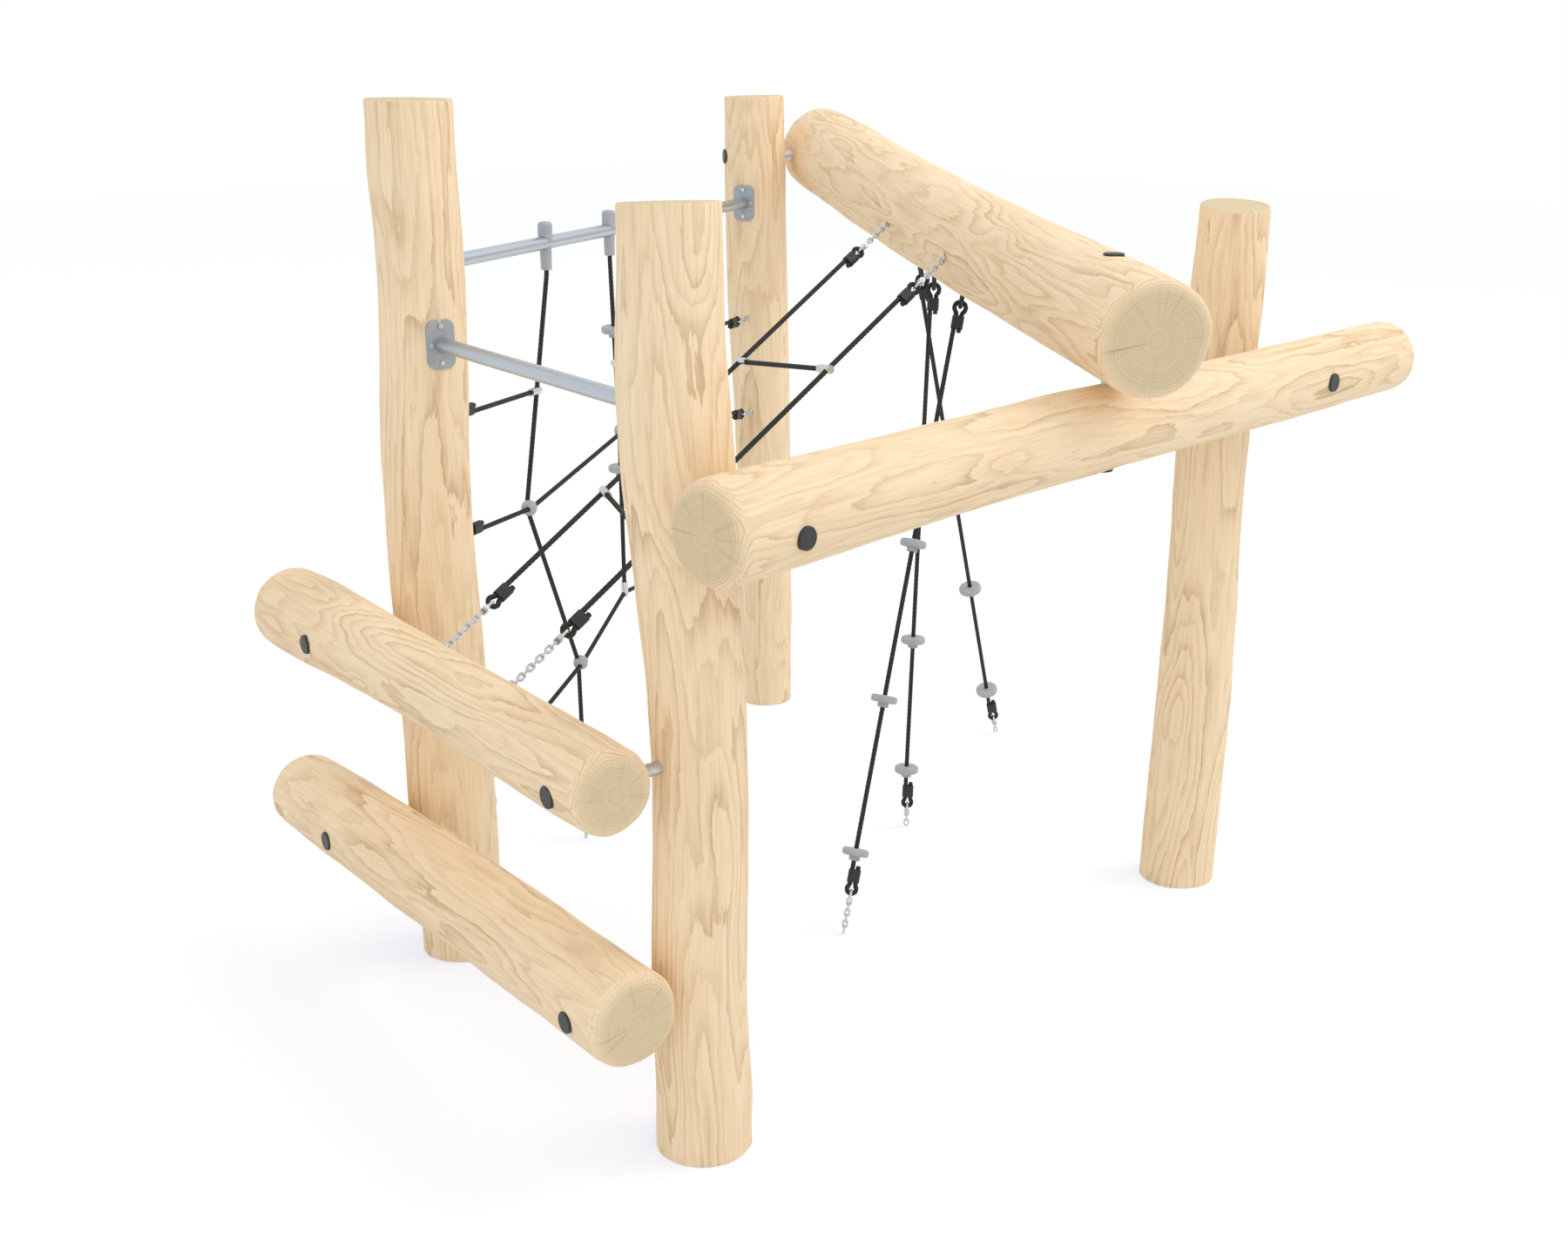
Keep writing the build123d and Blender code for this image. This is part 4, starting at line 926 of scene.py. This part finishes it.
def chain_tree():
    """A link of bent wire at each point, turned by the point's attribute."""
    tree = Tree("chain_links", [
        ("Wire", "Float", 0.006), ("Inner width", "Float", 0.0086),
        ("Inner length", "Float", 0.0185), ("Material", "Material", None),
    ])
    wide = tree.maths("ADD", "Inner width", "Wire")
    tall = tree.maths("ADD", "Inner length", "Wire")
    box = tree.node("GeometryNodeCurvePrimitiveQuadrilateral", {"Width": wide, "Height": tall})
    bend = tree.node("GeometryNodeFilletCurve",
                     {"Curve": box.outputs[0], "Count": 7,
                      "Radius": tree.maths("MULTIPLY", wide, 0.4999)}, mode="POLY")
    ring = tree.node("GeometryNodeCurvePrimitiveCircle",
                     {"Resolution": 12, "Radius": tree.maths("DIVIDE", "Wire", 2.0)})
    link = tree.node("GeometryNodeCurveToMesh",
                     {"Curve": bend.outputs[0], "Profile Curve": ring.outputs[0]})
    turn = tree.node("GeometryNodeInputNamedAttribute", data_type="QUATERNION")
    turn.inputs["Name"].default_value = "link_turn"
    copies = tree.node("GeometryNodeInstanceOnPoints",
                       {"Points": tree.entry.outputs[0], "Instance": link.outputs[0],
                        "Rotation": turn.outputs[0]})
    tree.end(copies.outputs[0])
    return tree


def build_rope(name, route, tree, settings, material):
    """A rope along its route, as a plain mesh, with the line that it follows."""
    points = np.array(route) / 1000
    curve = bpy.data.curves.new(name, "CURVE")
    curve.dimensions = "3D"
    spline = curve.splines.new("POLY")
    spline.points.add(len(points) - 1)
    for point, place in zip(spline.points, points):
        point.co = (*place, 1)
    source = add_object(name + "_line", curve)
    tree.put_on(source, {
        "Diameter": settings.diameter, "Groove": settings.groove, "Lay": settings.lay,
        "Strands": settings.strands, "Step": settings.step, "Material": material,
    })
    return plain_mesh(source, name), points


def build_chain(node, name, tree, settings, material):
    """The links of a CAD node of chain, each in the place of its own solid."""
    middles, turns = [], []
    for corners in solids(node):
        axes = np.linalg.svd(corners - corners.mean(0), full_matrices=False)[2]
        spans = [corners @ axis for axis in axes]
        middles.append(sum(axis * (span.max() + span.min()) / 2
                           for axis, span in zip(axes, spans)))
        long, wide = Vector(axes[0]), Vector(axes[1])
        turn = Matrix((wide, long, wide.cross(long))).transposed().to_quaternion()
        turns.append(tuple(turn))
    mesh = bpy.data.meshes.new(name + "_places")
    mesh.from_pydata([tuple(middle) for middle in middles], [], [])
    set_attribute(mesh, "link_turn", "QUATERNION", "value", turns)
    source = add_object(name + "_places", mesh)
    tree.put_on(source, {
        "Wire": settings.wire, "Inner width": settings.inner_width,
        "Inner length": settings.inner_length, "Material": material,
    })
    return plain_mesh(source, name)


# Operators


class CUBE_OT_logs(bpy.types.Operator):
    """Build the four posts and the four beams of debarked robinia"""

    bl_idname = "climbing_cube.logs"
    bl_label = "Logs"

    def execute(self, context):
        settings = context.scene.cube_logs
        material = wood_finish(settings)
        for node in LOGS:
            finish_piece(build_log(node, settings), material, "wood", node)
        return {"FINISHED"}


class CUBE_OT_ropes(bpy.types.Operator):
    """Lay the ropes of the net, the ladder and the three hanging ropes"""

    bl_idname = "climbing_cube.ropes"
    bl_label = "Ropes"

    def execute(self, context):
        settings = context.scene.cube_ropes
        material = rope_finish(settings)
        tree = rope_tree()
        for node, points in ROUTES.items():
            route = with_eyes(node, points)
            piece, line = build_rope(node + "_laid", route, tree, settings, material)
            cad_node = "ladder_rungs" if node.startswith("ladder_rung_") else node
            finish_piece(piece, material, "rope", cad_node)
        return {"FINISHED"}


class CUBE_OT_chains(bpy.types.Operator):
    """Link the short chains that tie the ropes to the logs and to the ground"""

    bl_idname = "climbing_cube.chains"
    bl_label = "Chains"

    def execute(self, context):
        settings = context.scene.cube_chains
        zinc = metal_finish("zinc_chain", settings.zinc, 0.34, (120.0, 120.0, 120.0))
        tree = chain_tree()
        for node in ("net_chains", "ladder_chains", "ground_chains"):
            piece = build_chain(node, node + "_linked", tree, settings, zinc)
            finish_piece(piece, zinc, "zinc_steel", node)
        return {"FINISHED"}


class CUBE_OT_zinc_parts(bpy.types.Operator):
    """Galvanise the shackles, screw eyes, rods, washers, nuts and screws"""

    bl_idname = "climbing_cube.zinc_parts"
    bl_label = "Zinc parts"

    def execute(self, context):
        settings = context.scene.cube_chains
        zinc = metal_finish("zinc_parts", settings.zinc, 0.38, (90.0, 90.0, 90.0))
        nodes = [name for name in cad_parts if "shackle" in name or "screw" in name]
        paint(nodes + ["through_rods", "washers", "nuts", "spacer_sleeves"], zinc)
        return {"FINISHED"}


class CUBE_OT_bars(bpy.types.Operator):
    """Finish the two steel bars and their cast flanges"""

    bl_idname = "climbing_cube.bars"
    bl_label = "Bars"

    def execute(self, context):
        settings = context.scene.cube_fittings
        steel = metal_finish("satin_steel", settings.steel, 0.36, (240.0, 240.0, 240.0),
                             fine=1400.0, depth=0.00003, dulled=0.95)
        paint(["bar_lower", "bar_upper"], steel)
        cast = metal_finish("cast_grey", settings.cast, 0.5, (60.0, 60.0, 60.0), 0.35,
                            fine=600.0, depth=0.0002, dulled=0.9)
        paint(["bar_flanges"], cast)
        return {"FINISHED"}


class CUBE_OT_plastics(bpy.types.Operator):
    """Finish the bolt caps, the steps, the clamps and the rope caps"""

    bl_idname = "climbing_cube.plastics"
    bl_label = "Plastic parts"

    def execute(self, context):
        settings = context.scene.cube_fittings
        black = plastic_finish("black_cap", settings.black, 0.42)
        paint(["bolt_caps"], black)
        grey = plastic_finish("grey_step", settings.grey, 0.5)
        paint(["bar_rope_caps", "bar_rope_sleeves", "net_cross_clamps", "net_discs",
               "hanging_discs"], grey)
        return {"FINISHED"}


class CUBE_OT_ferrules(bpy.types.Operator):
    """Finish the press ferrules, the hangers and the tees on the ropes"""

    bl_idname = "climbing_cube.ferrules"
    bl_label = "Ferrules"

    def execute(self, context):
        settings = context.scene.cube_fittings
        black = plastic_finish("black_ferrule", settings.ferrule, 0.48)
        nodes = [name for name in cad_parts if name.endswith("press_ferrules")]
        paint(nodes + ["rope_hangers"], black)
        bright = metal_finish("tee_aluminium", settings.aluminium, 0.3, (150.0, 150.0, 150.0))
        paint(["net_tees", "ladder_tees"], bright)
        return {"FINISHED"}


class CUBE_OT_stage(bpy.types.Operator):
    """Set up the pale floor, the soft lights and the camera"""

    bl_idname = "climbing_cube.stage"
    bl_label = "Stage"

    def execute(self, context):
        scene = context.scene
        settings = scene.cube_stage
        scene.view_settings.view_transform = "Standard"

        floor = mesh_object("floor", [(-30, -30, -0.001), (30, -30, -0.001),
                                      (30, 30, -0.001), (-30, 30, -0.001)], [(0, 1, 2, 3)])
        floor.data.materials.append(floor_finish())
        world = bpy.data.worlds.new("studio")
        scene.world = world
        sky_finish(world, settings.sky)

        for name, place, aim, power in (
            ("key_lamp", (6.0, -3.0, 8.0), (1.2, 1.0, 1.0), settings.key),
            ("fill_lamp", (-6.0, -5.0, 5.0), (1.0, 0.8, 1.2), settings.fill),
        ):
            lamp = bpy.data.lights.new(name, "AREA")
            lamp.size = 6.0
            lamp.energy = power
            lamp.color = (1.0, 0.98, 0.95)
            holder = add_object(name, lamp)
            holder.location = place
            toward = Vector(aim) - Vector(place)
            holder.rotation_euler = toward.to_track_quat("-Z", "Y").to_euler()

        camera = bpy.data.cameras.new("camera")
        camera.lens = settings.lens
        camera.sensor_width = 36
        camera.clip_end = 200
        holder = add_object("camera", camera)
        holder.location = (-2.89695, -3.08332, 2.73766)
        holder.rotation_euler = Euler((math.radians(72.4954), 0, math.radians(-46.1418)))
        scene.camera = holder
        return {"FINISHED"}


def seen_directly(nodes, links):
    """A number that is 1 for rays from the camera, in mirrors and through glass."""
    path = nodes.new("ShaderNodeLightPath")
    total = path.outputs["Is Camera Ray"]
    for name in ("Is Glossy Ray", "Is Transmission Ray"):
        made = nodes.new("ShaderNodeMath")
        made.operation = "MAXIMUM"
        links.new(total, made.inputs[0])
        links.new(path.outputs[name], made.inputs[1])
        total = made.outputs[0]
    return total


def floor_finish():
    """Pale floor that keeps a faint cool shadow."""
    material = bpy.data.materials.new("floor")
    material.use_nodes = True
    nodes, links = material.node_tree.nodes, material.node_tree.links
    nodes.clear()
    seen = seen_directly(nodes, links)
    lit = nodes.new("ShaderNodeBsdfDiffuse")
    lit.inputs["Color"].default_value = (0.95, 0.72, 0.42, 1)
    glow = nodes.new("ShaderNodeEmission")
    glow.inputs["Color"].default_value = (0.14, 0.36, 0.64, 1)
    shown = nodes.new("ShaderNodeAddShader")
    links.new(lit.outputs[0], shown.inputs[0])
    links.new(glow.outputs[0], shown.inputs[1])
    bounce = nodes.new("ShaderNodeBsdfDiffuse")
    bounce.inputs["Color"].default_value = (0.8, 0.82, 0.85, 1)
    either = nodes.new("ShaderNodeMixShader")
    links.new(seen, either.inputs[0])
    links.new(bounce.outputs[0], either.inputs[1])
    links.new(shown.outputs[0], either.inputs[2])
    output = nodes.new("ShaderNodeOutputMaterial")
    links.new(either.outputs[0], output.inputs[0])
    return material


def sky_finish(world, strength):
    """White where it is seen, and an even soft light on the object."""
    world.use_nodes = True
    nodes, links = world.node_tree.nodes, world.node_tree.links
    nodes.clear()
    seen = seen_directly(nodes, links)
    light = nodes.new("ShaderNodeBackground")
    light.inputs["Color"].default_value = (0.95, 0.975, 1.0, 1)
    light.inputs["Strength"].default_value = strength
    white = nodes.new("ShaderNodeBackground")
    white.inputs["Color"].default_value = (1, 1, 1, 1)
    either = nodes.new("ShaderNodeMixShader")
    links.new(seen, either.inputs[0])
    links.new(light.outputs[0], either.inputs[1])
    links.new(white.outputs[0], either.inputs[2])
    output = nodes.new("ShaderNodeOutputWorld")
    links.new(either.outputs[0], output.inputs[0])


class CUBE_PT_panel(bpy.types.Panel):
    """Lists the pieces of the climbing cube and their settings"""

    bl_idname = "CUBE_PT_panel"
    bl_label = "Climbing cube"
    bl_space_type = "VIEW_3D"
    bl_region_type = "UI"
    bl_category = "Climbing cube"

    def draw(self, context):
        for label, settings, operators in GROUPS:
            box = self.layout.box()
            box.label(text=label)
            group = getattr(context.scene, settings)
            for key in group.__annotations__:
                box.prop(group, key)
            for operator in operators:
                box.operator(operator.bl_idname)


GROUPS = (
    ("Logs", "cube_logs", (CUBE_OT_logs,)),
    ("Ropes", "cube_ropes", (CUBE_OT_ropes,)),
    ("Chains and zinc parts", "cube_chains", (CUBE_OT_chains, CUBE_OT_zinc_parts)),
    ("Bars and fittings", "cube_fittings",
     (CUBE_OT_bars, CUBE_OT_plastics, CUBE_OT_ferrules)),
    ("Stage", "cube_stage", (CUBE_OT_stage,)),
)
SETTINGS = {
    "cube_logs": LogSettings,
    "cube_ropes": RopeSettings,
    "cube_chains": ChainSettings,
    "cube_fittings": FittingSettings,
    "cube_stage": StageSettings,
}


def register():
    """Add the operators, the settings and the panel."""
    for name, group in SETTINGS.items():
        bpy.utils.register_class(group)
        setattr(bpy.types.Scene, name, PointerProperty(type=group))
    for _, _, operators in GROUPS:
        for operator in operators:
            bpy.utils.register_class(operator)
    bpy.utils.register_class(CUBE_PT_panel)


def unregister():
    """Take out the operators, the settings and the panel."""
    bpy.utils.unregister_class(CUBE_PT_panel)
    for _, _, operators in GROUPS:
        for operator in operators:
            bpy.utils.unregister_class(operator)
    for name, group in SETTINGS.items():
        delattr(bpy.types.Scene, name)
        bpy.utils.unregister_class(group)


def main():
    """Dress the whole part."""
    register()
    bpy.ops.climbing_cube.logs()
    bpy.ops.climbing_cube.ropes()
    bpy.ops.climbing_cube.chains()
    bpy.ops.climbing_cube.zinc_parts()
    bpy.ops.climbing_cube.bars()
    bpy.ops.climbing_cube.plastics()
    bpy.ops.climbing_cube.ferrules()
    bpy.ops.climbing_cube.stage()


if __name__ == "__main__":
    main()
